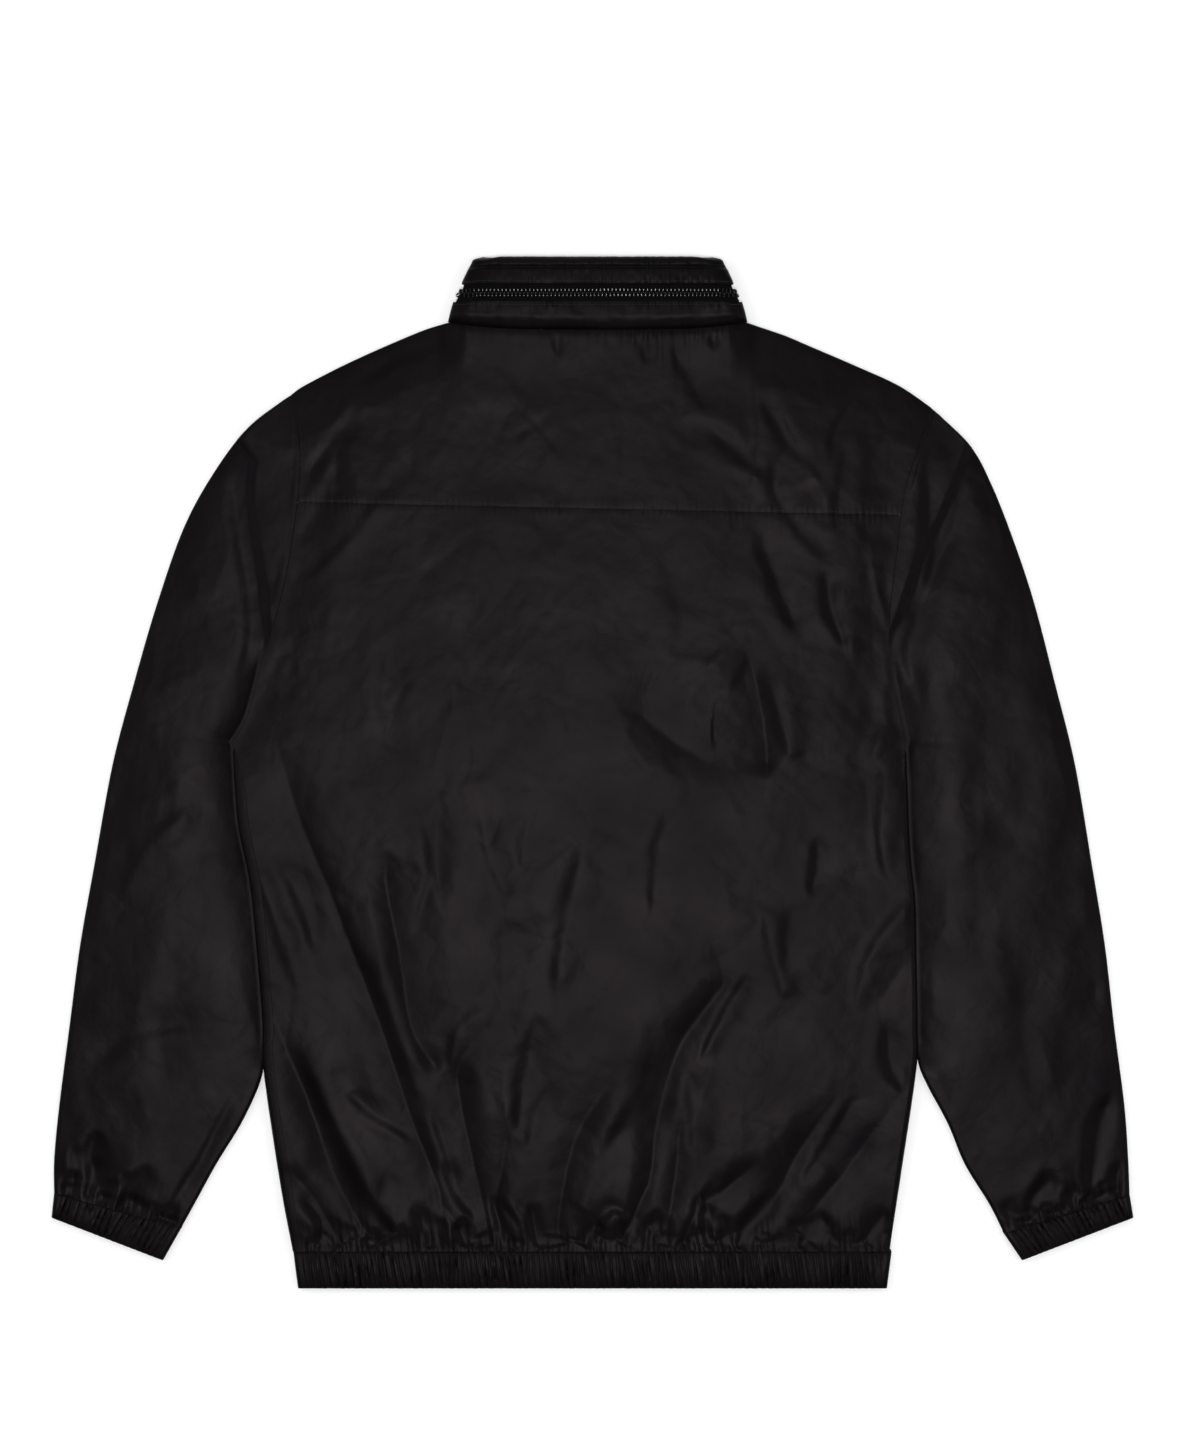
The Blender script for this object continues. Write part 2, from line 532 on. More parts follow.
class Nodes:
    """A material's nodes, added and linked in few words."""

    def __init__(self, name: str) -> None:
        """Starts an empty material.

        Args:
            name: The material's name.
        """
        self.material = bpy.data.materials.new(name)
        self.material.use_nodes = True
        self.tree = self.material.node_tree
        self.tree.nodes.clear()
        self.output = self.tree.nodes.new("ShaderNodeOutputMaterial")
        self.place = self.add("ShaderNodeTexCoord").outputs["Object"]

    def add(self, kind: str, links: dict | None = None, values: dict | None = None,
            **options: object) -> bpy.types.Node:
        """Adds a node.

        Args:
            kind: The node's type.
            links: Sockets that feed its inputs, by input name or number.
            values: Values of its inputs, by input name or number.
            **options: Settings of the node itself.

        Returns:
            The node.
        """
        node = self.tree.nodes.new(kind)
        for name, value in options.items():
            setattr(node, name, value)
        for name, value in (values or {}).items():
            node.inputs[name].default_value = value
        for name, socket in (links or {}).items():
            self.tree.links.new(socket, node.inputs[name])
        return node

    def scaled(self, x: float, y: float, z: float, turn: float = 0.0) -> bpy.types.NodeSocket:
        """The place, scaled along each axis and turned about Z."""
        values = {"Scale": (x, y, z), "Rotation": (0, 0, turn)}
        return self.add("ShaderNodeMapping", {"Vector": self.place}, values).outputs["Vector"]

    def noise(self, scale: float, detail: float = 2.0,
              where: bpy.types.NodeSocket | None = None) -> bpy.types.NodeSocket:
        """Smooth noise of some scale."""
        links, values = {"Vector": where or self.place}, {"Scale": scale, "Detail": detail}
        return self.add("ShaderNodeTexNoise", links, values).outputs["Fac"]

    def spread(self, socket: bpy.types.NodeSocket, low: float, high: float,
               least: float = 0.3, most: float = 0.7) -> bpy.types.NodeSocket:
        """A value that goes from low to high as a socket goes from least to most."""
        values = {"From Min": least, "From Max": most, "To Min": low, "To Max": high}
        return self.add("ShaderNodeMapRange", {"Value": socket}, values).outputs["Result"]

    def blend(self, share: bpy.types.NodeSocket, first: tuple, second: tuple) -> bpy.types.NodeSocket:
        """A colour between two, by a share."""
        node = self.add("ShaderNodeMix", {0: share}, {6: (*first, 1), 7: (*second, 1)}, data_type="RGBA")
        return node.outputs[2]

    def bump(self, height: bpy.types.NodeSocket, strength: float, distance: float,
             under: bpy.types.NodeSocket | None = None) -> bpy.types.NodeSocket:
        """A bumped normal, over another where one is given."""
        links = {"Height": height} | ({"Normal": under} if under else {})
        values = {"Strength": strength, "Distance": distance}
        return self.add("ShaderNodeBump", links, values).outputs["Normal"]

    def finish(self, links: dict, values: dict) -> bpy.types.Material:
        """Adds the shader and returns the material."""
        shader = self.add("ShaderNodeBsdfPrincipled", links, values)
        self.tree.links.new(shader.outputs["BSDF"], self.output.inputs["Surface"])
        return self.material


@dataclass(frozen=True)
class Taffeta:
    """Thin black taffeta: a fine ribbed weave with a broad satin gloss and faint crush marks."""

    name: str = "black_taffeta"
    dark: tuple[float, float, float] = (0.0015, 0.0013, 0.0016)
    light: tuple[float, float, float] = (0.0030, 0.0023, 0.0024)
    roughness: tuple[float, float] = (0.37, 0.44)
    crush: float = 0.28
    ribs: float = 0.3
    gloss: float = 0.056
    tint: tuple[float, float, float] = (1.0, 0.88, 0.94)

    def material(self) -> bpy.types.Material:
        """Builds the material."""
        nodes = Nodes(self.name)
        mottle = nodes.noise(24, 4)
        colour = nodes.blend(nodes.spread(mottle, 0, 1), self.dark, self.light)
        rib = nodes.noise(1.0, 2, nodes.scaled(240, 2300, 240))
        warp = nodes.noise(1.0, 1, nodes.scaled(2600, 190, 240))
        creases = nodes.add("ShaderNodeTexVoronoi", {"Vector": nodes.scaled(1, 1, 1)}, {"Scale": 46},
                            feature="DISTANCE_TO_EDGE").outputs["Distance"]
        normal = nodes.bump(nodes.noise(30, 5), self.crush, 0.0022)
        normal = nodes.bump(nodes.spread(creases, 0, 1, 0.0, 0.12), self.crush * 0.28, 0.0004, normal)
        normal = nodes.bump(nodes.noise(130, 3), self.crush * 0.5, 0.0004, normal)
        normal = nodes.bump(rib, self.ribs, 0.00012, normal)
        normal = nodes.bump(warp, self.ribs * 0.6, 0.0001, normal)
        roughness = nodes.spread(nodes.noise(17, 3), *self.roughness)
        values = {"IOR": 1.5, "Specular IOR Level": self.gloss, "Sheen Weight": 0.005, "Sheen Roughness": 0.5,
                  "Specular Tint": (*self.tint, 1.0)}
        return nodes.finish({"Base Color": colour, "Roughness": roughness, "Normal": normal}, values)


@dataclass(frozen=True)
class WovenTape:
    """Matte zip tape with a herringbone weave."""

    name: str = "black_zip_tape"
    colour: tuple[float, float, float] = (0.0014, 0.0014, 0.0016)
    light: tuple[float, float, float] = (0.0034, 0.0034, 0.0038)
    roughness: float = 0.75
    gloss: float = 0.03

    def material(self) -> bpy.types.Material:
        """Builds the material."""
        nodes = Nodes(self.name)
        twill = nodes.add("ShaderNodeTexWave", {"Vector": nodes.scaled(1, 1, 1, 0.8)},
                          {"Scale": 260, "Distortion": 0.6}).outputs["Fac"]
        ribs = nodes.add("ShaderNodeTexWave", {"Vector": nodes.scaled(1, 1, 1)}, {"Scale": 330},
                         bands_direction="Y").outputs["Fac"]
        normal = nodes.bump(ribs, 0.35, 0.0002, nodes.bump(twill, 0.45, 0.0002))
        colour = nodes.blend(nodes.spread(twill, 0, 1, 0, 1), self.colour, self.light)
        values = {"Roughness": self.roughness, "Specular IOR Level": self.gloss}
        return nodes.finish({"Base Color": colour, "Normal": normal}, values)


@dataclass(frozen=True)
class MouldedPlastic:
    """Glossy black moulded plastic with fine mould marks."""

    name: str = "black_moulded_plastic"
    colour: tuple[float, float, float] = (0.005, 0.005, 0.0055)
    worn: tuple[float, float, float] = (0.010, 0.010, 0.011)
    roughness: tuple[float, float] = (0.06, 0.10)
    gloss: float = 0.3

    def material(self) -> bpy.types.Material:
        """Builds the material."""
        nodes = Nodes(self.name)
        colour = nodes.blend(nodes.spread(nodes.noise(300, 2), 0, 1), self.colour, self.worn)
        roughness = nodes.spread(nodes.noise(160, 3), *self.roughness)
        normal = nodes.bump(nodes.noise(900, 2), 0.03, 0.0001)
        values = {"IOR": 1.5, "Specular IOR Level": self.gloss}
        return nodes.finish({"Base Color": colour, "Roughness": roughness, "Normal": normal}, values)


@dataclass(frozen=True)
class PaintedMetal:
    """Die-cast zip metal under thin black paint, worn lighter in places."""

    name: str = "black_painted_metal"
    paint: tuple[float, float, float] = (0.022, 0.022, 0.024)
    worn: tuple[float, float, float] = (0.075, 0.075, 0.08)
    roughness: tuple[float, float] = (0.28, 0.42)
    metallic: float = 0.75

    def material(self) -> bpy.types.Material:
        """Builds the material."""
        nodes = Nodes(self.name)
        wear = nodes.spread(nodes.noise(420, 5), 0, 1, 0.52, 0.75)
        colour = nodes.blend(wear, self.paint, self.worn)
        roughness = nodes.spread(nodes.noise(500, 3), *self.roughness)
        normal = nodes.bump(nodes.noise(1400, 2), 0.1, 0.0001)
        links = {"Base Color": colour, "Roughness": roughness, "Normal": normal}
        return nodes.finish(links, {"Metallic": self.metallic})


@dataclass(frozen=True)
class Thread:
    """Fine twisted black sewing thread."""

    name: str = "black_thread"
    colour: tuple[float, float, float] = (0.007, 0.0067, 0.0071)
    light: tuple[float, float, float] = (0.018, 0.017, 0.018)
    roughness: float = 0.4
    gloss: float = 0.2

    def material(self) -> bpy.types.Material:
        """Builds the material."""
        nodes = Nodes(self.name)
        lengthwise = nodes.scaled(1, 1, 1, 0.5)
        twist = nodes.add("ShaderNodeTexWave", {"Vector": lengthwise}, {"Scale": 900}).outputs["Fac"]
        colour = nodes.blend(nodes.spread(twist, 0, 1, 0, 1), self.colour, self.light)
        return nodes.finish({"Base Color": colour, "Normal": nodes.bump(twist, 0.3, 0.0001)},
                            {"Roughness": self.roughness, "Specular IOR Level": self.gloss})


@dataclass(frozen=True)
class Paper:
    """The plain white surface that the jacket lies on."""

    name: str = "white_surface"
    light: tuple[float, float, float] = (0.93, 0.93, 0.93)
    dark: tuple[float, float, float] = (0.92, 0.92, 0.92)
    glow: float = 0.08

    def material(self) -> bpy.types.Material:
        """Builds the material."""
        nodes = Nodes(self.name)
        colour = nodes.blend(nodes.spread(nodes.noise(8, 2), 0, 1), self.dark, self.light)
        glow = {"Emission Color": (1, 1, 1, 1), "Emission Strength": self.glow}
        return nodes.finish({"Base Color": colour}, {"Roughness": 0.9, "Specular IOR Level": 0.1, **glow})


@dataclass(frozen=True)
class Finishes:
    """The jacket's finished materials."""

    taffeta: bpy.types.Material = field(default_factory=lambda: Taffeta().material())
    tape: bpy.types.Material = field(default_factory=lambda: WovenTape().material())
    teeth: bpy.types.Material = field(default_factory=lambda: MouldedPlastic().material())
    metal: bpy.types.Material = field(default_factory=lambda: PaintedMetal().material())
    thread: bpy.types.Material = field(default_factory=lambda: Thread().material())


def grid_faces(rows: int, columns: int) -> Array:
    """The four-sided faces of a grid of points."""
    j, i = np.meshgrid(np.arange(rows - 1), np.arange(columns - 1), indexing="ij")
    a = (j * columns + i).ravel()
    return np.stack([a, a + columns, a + columns + 1, a + 1], axis=1)


def make_mesh(name: str, points: Array, faces: Array | list, material: bpy.types.Material,
              outward: bool = False, sharp: float = 60.0) -> bpy.types.Object:
    """Makes a piece that rides on the garment.

    Args:
        name: The piece's name.
        points: Its points in millimetres, one a row.
        faces: Its faces, as point numbers.
        material: Its finish.
        outward: Whether its faces still have to be turned to face out.
        sharp: The angle in degrees from which an edge is crisp.

    Returns:
        The piece.
    """
    mesh = bpy.data.meshes.new(name)
    placed = (points + np.array((0, SHIFT_Y, 0))) * MM
    mesh.from_pydata(placed.tolist(), [], faces.tolist() if isinstance(faces, np.ndarray) else faces)
    if outward:
        work = bmesh.new()
        work.from_mesh(mesh)
        bmesh.ops.recalc_face_normals(work, faces=work.faces)
        work.to_mesh(mesh)
        work.free()
    mesh.shade_smooth()
    mesh.set_sharp_from_angle(angle=math.radians(sharp))
    mesh.materials.append(material)
    piece = bpy.data.objects.new(name, mesh)
    bpy.context.scene.collection.objects.link(piece)
    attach(piece, BODY)
    return piece


def make_cloth(name: str, grid: Array, material: bpy.types.Material, turned: float = 0.0,
               outward: bool = False) -> bpy.types.Object:
    """Makes a piece of cloth from a grid of points.

    Args:
        name: The piece's name.
        grid: Its points in millimetres, by row, column and axis.
        material: Its finish.
        turned: How far its edges are turned down.
        outward: Whether its faces still have to be turned to face out.

    Returns:
        The piece.
    """
    if turned:
        grid = np.pad(grid, ((1, 1), (1, 1), (0, 0)), mode="edge")
        border = np.ones(grid.shape[:2], bool)
        border[1:-1, 1:-1] = False
        grid[border, 2] -= turned
    grid[..., 2] = np.maximum(grid[..., 2], 0.0)
    rows, columns = grid.shape[:2]
    return make_mesh(name, grid.reshape(-1, 3), grid_faces(rows, columns), material, outward)


@dataclass
class BackCloth:
    """The back of the jacket: a yoke over a panel, with the folds that it lies in."""

    finishes: Finishes
    middle: float = 8.2
    side: float = 6.6
    side_lift: float = 2.3
    side_reach: float = 46.0
    hem: float = 6.2
    hem_reach: float = 30.0
    lowest: float = 3.2
    floor_softness: float = 1.1
    neck_rise: float = 2.0
    turned: float = 4.5
    yoke_turned: float = 1.0
    columns: int = 384
    row_gap: float = 2.5
    fine_reach: float = 16.0
    fine_rows: int = 14
    yoke_rows: int = 48
    gather_depth: float = 1.3
    gathers: Gathers = Gathers(11, 5.8, 0.62, 0.10)
    seam_puckers: Gathers = Gathers(23, 4.6, 0.26, 0.05)
    creases: tuple[Fold, ...] = short_creases(31, (-227, HEM_SEAM), (227, HEM_SEAM), 40, 48)

    def height(self, x: Array, y: Array) -> Array:
        """The height of the outside of the back at some places."""
        left = np.where(y > PIT, x_where(ARMHOLE[Side.LEFT], y), x_where(SIDE_SEAM[Side.LEFT], y))
        right = np.where(y > PIT, x_where(ARMHOLE[Side.RIGHT], y), x_where(SIDE_SEAM[Side.RIGHT], y))
        from_side = np.minimum(x - left, right - x)
        below_pit = smooth((PIT + 10 - y) / 60) * smooth((y - HEM_SEAM) / 70)
        across = mix(self.side + self.side_lift * below_pit, self.middle, smooth(from_side / self.side_reach))
        near_hem = (1 - smooth((y - HEM_SEAM) / self.hem_reach)) * smooth(from_side / self.hem_reach)
        hem = (self.hem - self.middle) * near_hem
        neck_part = smooth((125 - np.abs(x - COLLAR_X)) / 25)
        neck = self.neck_rise * neck_part * np.exp(-(((NECK_SIDE - y) / 34) ** 2))
        held = smooth(0.35 + from_side / 14) * mix(0.7, 1, smooth((y - HEM_SEAM) / 7))
        relief = self.relief(x, y) * held
        above_lowest = across + hem + neck + relief - self.lowest
        full = self.lowest + (above_lowest + np.hypot(above_lowest, self.floor_softness)) / 2
        over = np.where(x < COLLAR_X, self.shoulder_y(Side.LEFT, x), self.shoulder_y(Side.RIGHT, x))
        near_shoulder = mix(np.clip((over - y) / SHOULDER_REACH, 0, 1) ** SHOULDER_CURVE, 1, neck_part)
        return mix(SHOULDER_HEIGHT, full, near_shoulder)

    def shoulder_y(self, side: Side, x: Array) -> Array:
        """The shoulder's y at some x."""
        line = SHOULDER[side] if side is Side.RIGHT else SHOULDER[side][::-1]
        return np.interp(x, line[:, 0], line[:, 1])

    def relief(self, x: Array, y: Array) -> Array:
        """The folds, creases and puckers of the back at some places."""
        crush = Waves(3, 34, 120, 0.29).at(x, y) + Waves(4, 10, 28, 0.06).at(x, y)
        crush += Crumples(2.0, 58, 14.0, 0.3).at(x, y) - Crumples(7.0, 76, 15.0, 0.4).at(x, y)
        above_hem = y - HEM_SEAM
        reach = 9 + 5 * Waves(8, 18, 70, 1.0, 8).at(x, x * 0)
        gathered = self.gathers.at(x, above_hem) * np.exp(-np.maximum(above_hem, 0) / np.maximum(reach, 4))
        seam_y = yoke_seam_y(x)
        from_seam = np.abs(y - seam_y)
        puckered = self.seam_puckers.at(x, y - seam_y) * np.exp(-from_seam / 4)
        below_neck = np.maximum(Collar.back_neck_y(x) - y, 0)
        fuller = np.exp(-(((x - 60) / 34) ** 2))
        neck = Gathers(29, 7.5, 0.42).at(x, y) * (0.6 + fuller) * np.exp(-below_neck / (7 + 7 * fuller))
        sunk_neck = 0.9 * np.exp(-((below_neck / 2.4) ** 2))
        neck = (neck - sunk_neck) * smooth((118 - np.abs(x - COLLAR_X)) / 12)
        sunk = -0.25 * np.exp(-((from_seam / 1.6) ** 2))
        folded = fold_heights(BACK_FOLDS, x, y) + fold_heights(self.creases, x, y)
        return folded + crush + self.gather_depth * gathered + puckered + sunk + neck

    def edge(self, side: Side, upper: int, lower: int) -> Array:
        """The panel's edge: down the armhole, then down the side seam.

        Args:
            side: The side.
            upper: How many rows go down to the pit.
            lower: How many rows go from there to the fine rows above the hem seam.

        Returns:
            The edge's places.
        """
        y_upper = np.linspace(YOKE_SEAM[side], PIT, upper + 1)
        fine_top = HEM_SEAM + self.fine_reach
        y_lower = np.concatenate([np.linspace(PIT, fine_top, lower + 1)[1:],
                                  np.linspace(fine_top, HEM_SEAM, self.fine_rows + 1)[1:]])
        inside = (WRAP[side] + SEAM) * np.clip((PIT - y_lower) / WRAP_RAMP, 0, 1)
        x_lower = x_where(SIDE_SEAM[side], y_lower) - side.value * inside
        x = np.concatenate([x_where(ARMHOLE[side], y_upper), x_lower])
        y = np.concatenate([y_upper, y_lower])
        y[0] -= SEAM
        return np.stack([x, y], axis=1)

    def raised(self, plan: Array) -> Array:
        """A plan grid lifted to the cloth's height."""
        z = self.height(plan[..., 0], plan[..., 1])
        return np.concatenate([plan, z[..., None]], axis=2)

    def panel(self) -> bpy.types.Object:
        """Builds the panel below the yoke."""
        upper = round((YOKE_SEAM[Side.LEFT] - PIT) / self.row_gap)
        lower = round((PIT - HEM_SEAM - self.fine_reach) / self.row_gap)
        left, right = self.edge(Side.LEFT, upper, lower), self.edge(Side.RIGHT, upper, lower)
        across = np.linspace(0, 1, self.columns + 1)
        top = mix(left[0], right[0], across[:, None])
        bottom = mix(left[-1], right[-1], across[:, None])
        down = (left[0, 1] - left[:, 1]) / (left[0, 1] - left[-1, 1])
        grid = self.raised(patch(top, bottom, left, right, across, down))
        piece = make_cloth("back_panel_cloth", grid, self.finishes.taffeta, self.turned)
        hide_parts("back_panel")
        return piece

    def yoke(self) -> bpy.types.Object:
        """Builds the yoke."""
        straight = Collar.half_width(0) - Collar.edge_round
        neck_x = COLLAR_X + np.linspace(-straight, straight, 90)
        neck = np.stack([neck_x, Collar.back_neck_y(neck_x) - SEAM], axis=1)
        outline = np.concatenate([SHOULDER[Side.LEFT][::-1], neck, SHOULDER[Side.RIGHT]])
        across = np.linspace(0, 1, self.columns + 1)
        top = at_share(outline, across)
        rows = self.yoke_rows
        sides = []
        for side in Side:
            y = np.linspace(ARMHOLE[side][0, 1], YOKE_SEAM[side], rows + 1)
            sides.append(np.stack([x_where(ARMHOLE[side], y), y], axis=1))
        bottom = mix(sides[0][-1], sides[1][-1], across[:, None])
        grid = self.raised(patch(top, bottom, *sides, across, np.linspace(0, 1, rows + 1)))
        piece = make_cloth("back_yoke_cloth", grid, self.finishes.taffeta, self.yoke_turned)
        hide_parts("back_yoke")
        return piece

    def build(self) -> list[bpy.types.Object]:
        """Builds the back's pieces."""
        return [self.panel(), self.yoke()]


@dataclass
class FrontCloth:
    """One front: it lies face down, and below the pit its side turns up onto the back."""

    finishes: Finishes
    back: BackCloth
    side: Side
    bulge: float = 0.5
    bulge_reach: float = 60.0
    turn_length: float = 9.0
    flat_columns: int = 78
    round_columns: int = 9
    rows: int = 230

    def build(self) -> bpy.types.Object:
        """Builds the front."""
        sign = self.side.value
        straight = Collar.half_width(0) - Collar.edge_round
        neck_x = np.linspace(FRONT_X + sign * FRONT_OPENING, COLLAR_X + sign * straight, 40)
        neck = np.stack([neck_x, Collar.front_neck_y(neck_x) - SEAM], axis=1)
        across = np.linspace(0, 1, self.flat_columns + 1)
        top = at_share(np.concatenate([neck, SHOULDER[self.side]]), across)
        line = np.concatenate([ARMHOLE[self.side], SIDE_SEAM[self.side][1:]])
        y = np.linspace(line[0, 1], HEM_SEAM, self.rows + 1)
        edge = np.stack([x_where(line, y), y], axis=1)
        down = (y[0] - y) / (y[0] - y[-1])
        centre = np.stack([np.full_like(y, top[0, 0]), mix(top[0, 1], y[-1], down)], axis=1)
        bottom = np.stack([mix(top[0, 0], edge[-1, 0], across), np.full_like(across, y[-1])], axis=1)
        plan = patch(top, bottom, centre, edge, across, down)
        plan[..., 0] -= sign * EDGE_ROUND * smooth((across - 0.75) / 0.25)[None, :]
        lift = self.creases(plan[..., 0], plan[..., 1]) * smooth((1 - across) / 0.08)[None, :]
        flat = np.concatenate([plan, lift[..., None]], axis=2)
        grid = np.concatenate([flat, self.turned_side(edge)], axis=1)
        piece = make_cloth(f"front_{self.side.label}_cloth", grid, self.finishes.taffeta)
        if self.side is Side.RIGHT:
            piece.data.flip_normals()
        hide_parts(f"front_{self.side.label}")
        return piece

    def creases(self, x: Array, y: Array) -> Array:
        """How far the lower side lifts off the surface in its shallow creases."""
        waves = Waves(40 + self.side.value, 22, 120, 0.3).at(x, y)
        creases = Crumples(30.0 + self.side.value, 60, 5, 0.7).at(x, y)
        above_hem = y - HEM_SEAM
        gathered = Gathers(51, 5.8, 0.45).at(x, above_hem) * np.exp(-above_hem / 12)
        return np.clip(waves + creases + gathered, 0, 1.2)

    def turned_side(self, edge: Array) -> Array:
        """The part that turns up round the side, by row and column."""
        sign = self.side.value
        turned = np.clip((PIT - edge[:, 1]) / WRAP_RAMP, 0, 1)[:, None]
        raised = smooth((PIT - edge[:, 1]) / self.turn_length)[:, None]
        end_x = edge[:, 0] - sign * WRAP[self.side]
        high = self.back.height(end_x, edge[:, 1])[:, None]
        t = np.linspace(0, 1, self.round_columns + 1)[1:][None, :]
        round_x = edge[:, :1] - sign * EDGE_ROUND
        bulge = self.bulge * smooth((edge[:, 1] - HEM_SEAM) / self.bulge_reach)[:, None]
        x_turned = round_x + sign * (EDGE_ROUND + bulge) * np.sin(math.pi * t)
        z_turned = high / 2 * (1 - np.cos(math.pi * t))
        x = mix(mix(round_x, edge[:, :1], 0.9 * t), x_turned, raised)
        z = mix(0, z_turned, raised)
        x = np.concatenate([x, mix(edge[:, :1], end_x[:, None], turned)], axis=1)
        z = np.concatenate([z, mix(0, high, raised)], axis=1)
        return np.stack([x, np.broadcast_to(edge[:, 1:], x.shape), z], axis=2)


@dataclass
class SleeveCloth:
    """One sleeve and its cuff: a flattened tube, with a raised strip of sleeve head at the armhole."""

    finishes: Finishes
    side: Side
    edge_height: float = 4.6
    crown: float = 1.8
    strip: float = 7.8
    tucked: float = 4.2
    tuck_start: float = 106.0
    tuck_end: float = -235.0
    tuck_share: float = 0.68
    slope: float = 8.0
    clearance: float = -1.0
    shoulder_start: float = 0.018
    pit_share: float = 0.45
    head_rows: int = 112
    arm_rows: int = 160
    upper_columns: int = 66
    lower_columns: int = 18
    cuff_columns: int = 210
    cuff_rows: int = 15
    cuff_height: float = 4.4
    cuff_swell: float = 0.9
    turn_columns: int = 6
    gather_depth: float = 1.5
    gather_reach: float = 9.0
    gathers: Gathers = Gathers(61, 5.4, 0.55, 0.08)
    cuff_gathers: Gathers = Gathers(67, 5.35, 0.85, 0.12, 0.2)

    def lines(self) -> tuple[Array, Array, Array]:
        """The sleeve's rows.

        Returns:
            The outer ends, the inner ends, and how far each row is a closed tube.
        """
        sign = self.side.value
        outer_line, inner_line = SLEEVE_OUTER[self.side], SLEEVE_INNER[self.side]
        t = np.linspace(0, 1, self.head_rows + 1)
        head = at_share(ARMHOLE[self.side], t)
        head[:, 0] += sign * mix(-SEAM, SEAM + 0.05, smooth(t / 0.1))
        v = np.linspace(0, 1, self.arm_rows + 1)[1:]
        arm = at_share(inner_line, v)
        closed = np.clip(20 * v, 0, 1)
        arm[:, 0] += sign * self.clearance
        outer_share = np.concatenate([mix(self.shoulder_start, self.pit_share, t), mix(self.pit_share, 1, v)])
        outer = at_share(outer_line, outer_share)
        return outer, np.concatenate([head, arm]), np.concatenate([t * 0, closed])

    def height(self, x: Array, y: Array, share: Array) -> Array:
        """The height of the upper side.

        Args:
            x: The places' x.
            y: The places' y.
            share: Their share of the way from the outer edge to the inner one.

        Returns:
            The height at each place.
        """
        sign = self.side.value
        edge_line = FOLD_EDGE[self.side]
        edge = x_where(edge_line, y)
        within = smooth((y - edge_line[-1, 1]) / 45)
        strip = smooth(0.5 + sign * (edge - x) / self.slope) * within
        plain = self.edge_height + self.crown * 4 * share * (1 - share)
        beside = smooth((self.tuck_start - y) / 40) * smooth((y - self.tuck_end) / 30)
        plain -= self.tucked * beside * np.clip((share - self.tuck_share) / (1 - self.tuck_share), 0, 1) ** 2
        from_point = np.hypot(x - ARMHOLE[self.side][0, 0], y - ARMHOLE[self.side][0, 1])
        raised = mix(SHOULDER_HEIGHT, self.strip, np.clip(from_point / SHOULDER_REACH, 0, 1) ** SHOULDER_CURVE)
        held = smooth(share / 0.07) * smooth((1.03 - share) / 0.08)
        return mix(plain, raised, strip) + self.relief(x, y) * held

    def relief(self, x: Array, y: Array) -> Array:
        """The folds and creases of the upper side at some places."""
        seed = 70 + self.side.value
        crush = Waves(seed, 34, 130, 0.3).at(x, y) + Waves(seed + 3, 10, 28, 0.05).at(x, y)
        crush += Crumples(seed, 70, 14, 0.35).at(x, y)
        (ax, ay), (bx, by) = SLEEVE_OUTER[self.side][-1], SLEEVE_INNER[self.side][-1]
        length = math.hypot(bx - ax, by - ay)
        along = ((x - ax) * (bx - ax) + (y - ay) * (by - ay)) / length
        above = np.abs((x - ax) * (by - ay) - (y - ay) * (bx - ax)) / length
        gathered = self.gathers.at(along, above) * np.exp(-above / self.gather_reach)
        corners = ((ax, ay), (bx, by)) if self.side is Side.LEFT else ((bx, by), (ax, ay))
        creases = short_creases(35 + self.side.value, *corners, 15, 26)
        return fold_heights(SLEEVE_FOLDS[self.side] + creases, x, y) + crush + self.gather_depth * gathered

    def section(self, outer: Array, inner: Array, closed: Array,
                height: Callable[[Array, Array, Array], Array], upper: int) -> Array:
        """The rows of a flattened tube.

        Args:
            outer: The rows' outer ends.
            inner: The rows' inner ends.
            closed: How far each row is a closed tube.
            height: The height of the upper side by x, y and share.
            upper: How many columns the upper side has.

        Returns:
            The points by row, column and axis: from the inner edge along the lower side, round the
            outer edge and back along the upper side.
        """
        width = np.linalg.norm(inner - outer, axis=1)[:, None]
        way = (inner - outer)[:, None, :] / width[..., None]
        closed = closed[:, None]

        def plan(reach: Array) -> Array:
            """The places at some reach from the outer ends."""
            return outer[:, None, :] + way * reach[..., None]

        def upper_z(reach: Array, share: Array) -> Array:
            """The upper side's height at some reach."""
            p = plan(reach)
            return height(p[..., 0], p[..., 1], np.broadcast_to(share, reach.shape))

        def points(reach: Array, z: Array) -> Array:
            """The points at some reach and height."""
            return np.concatenate([plan(reach), np.broadcast_to(z, reach.shape)[..., None]], axis=2)

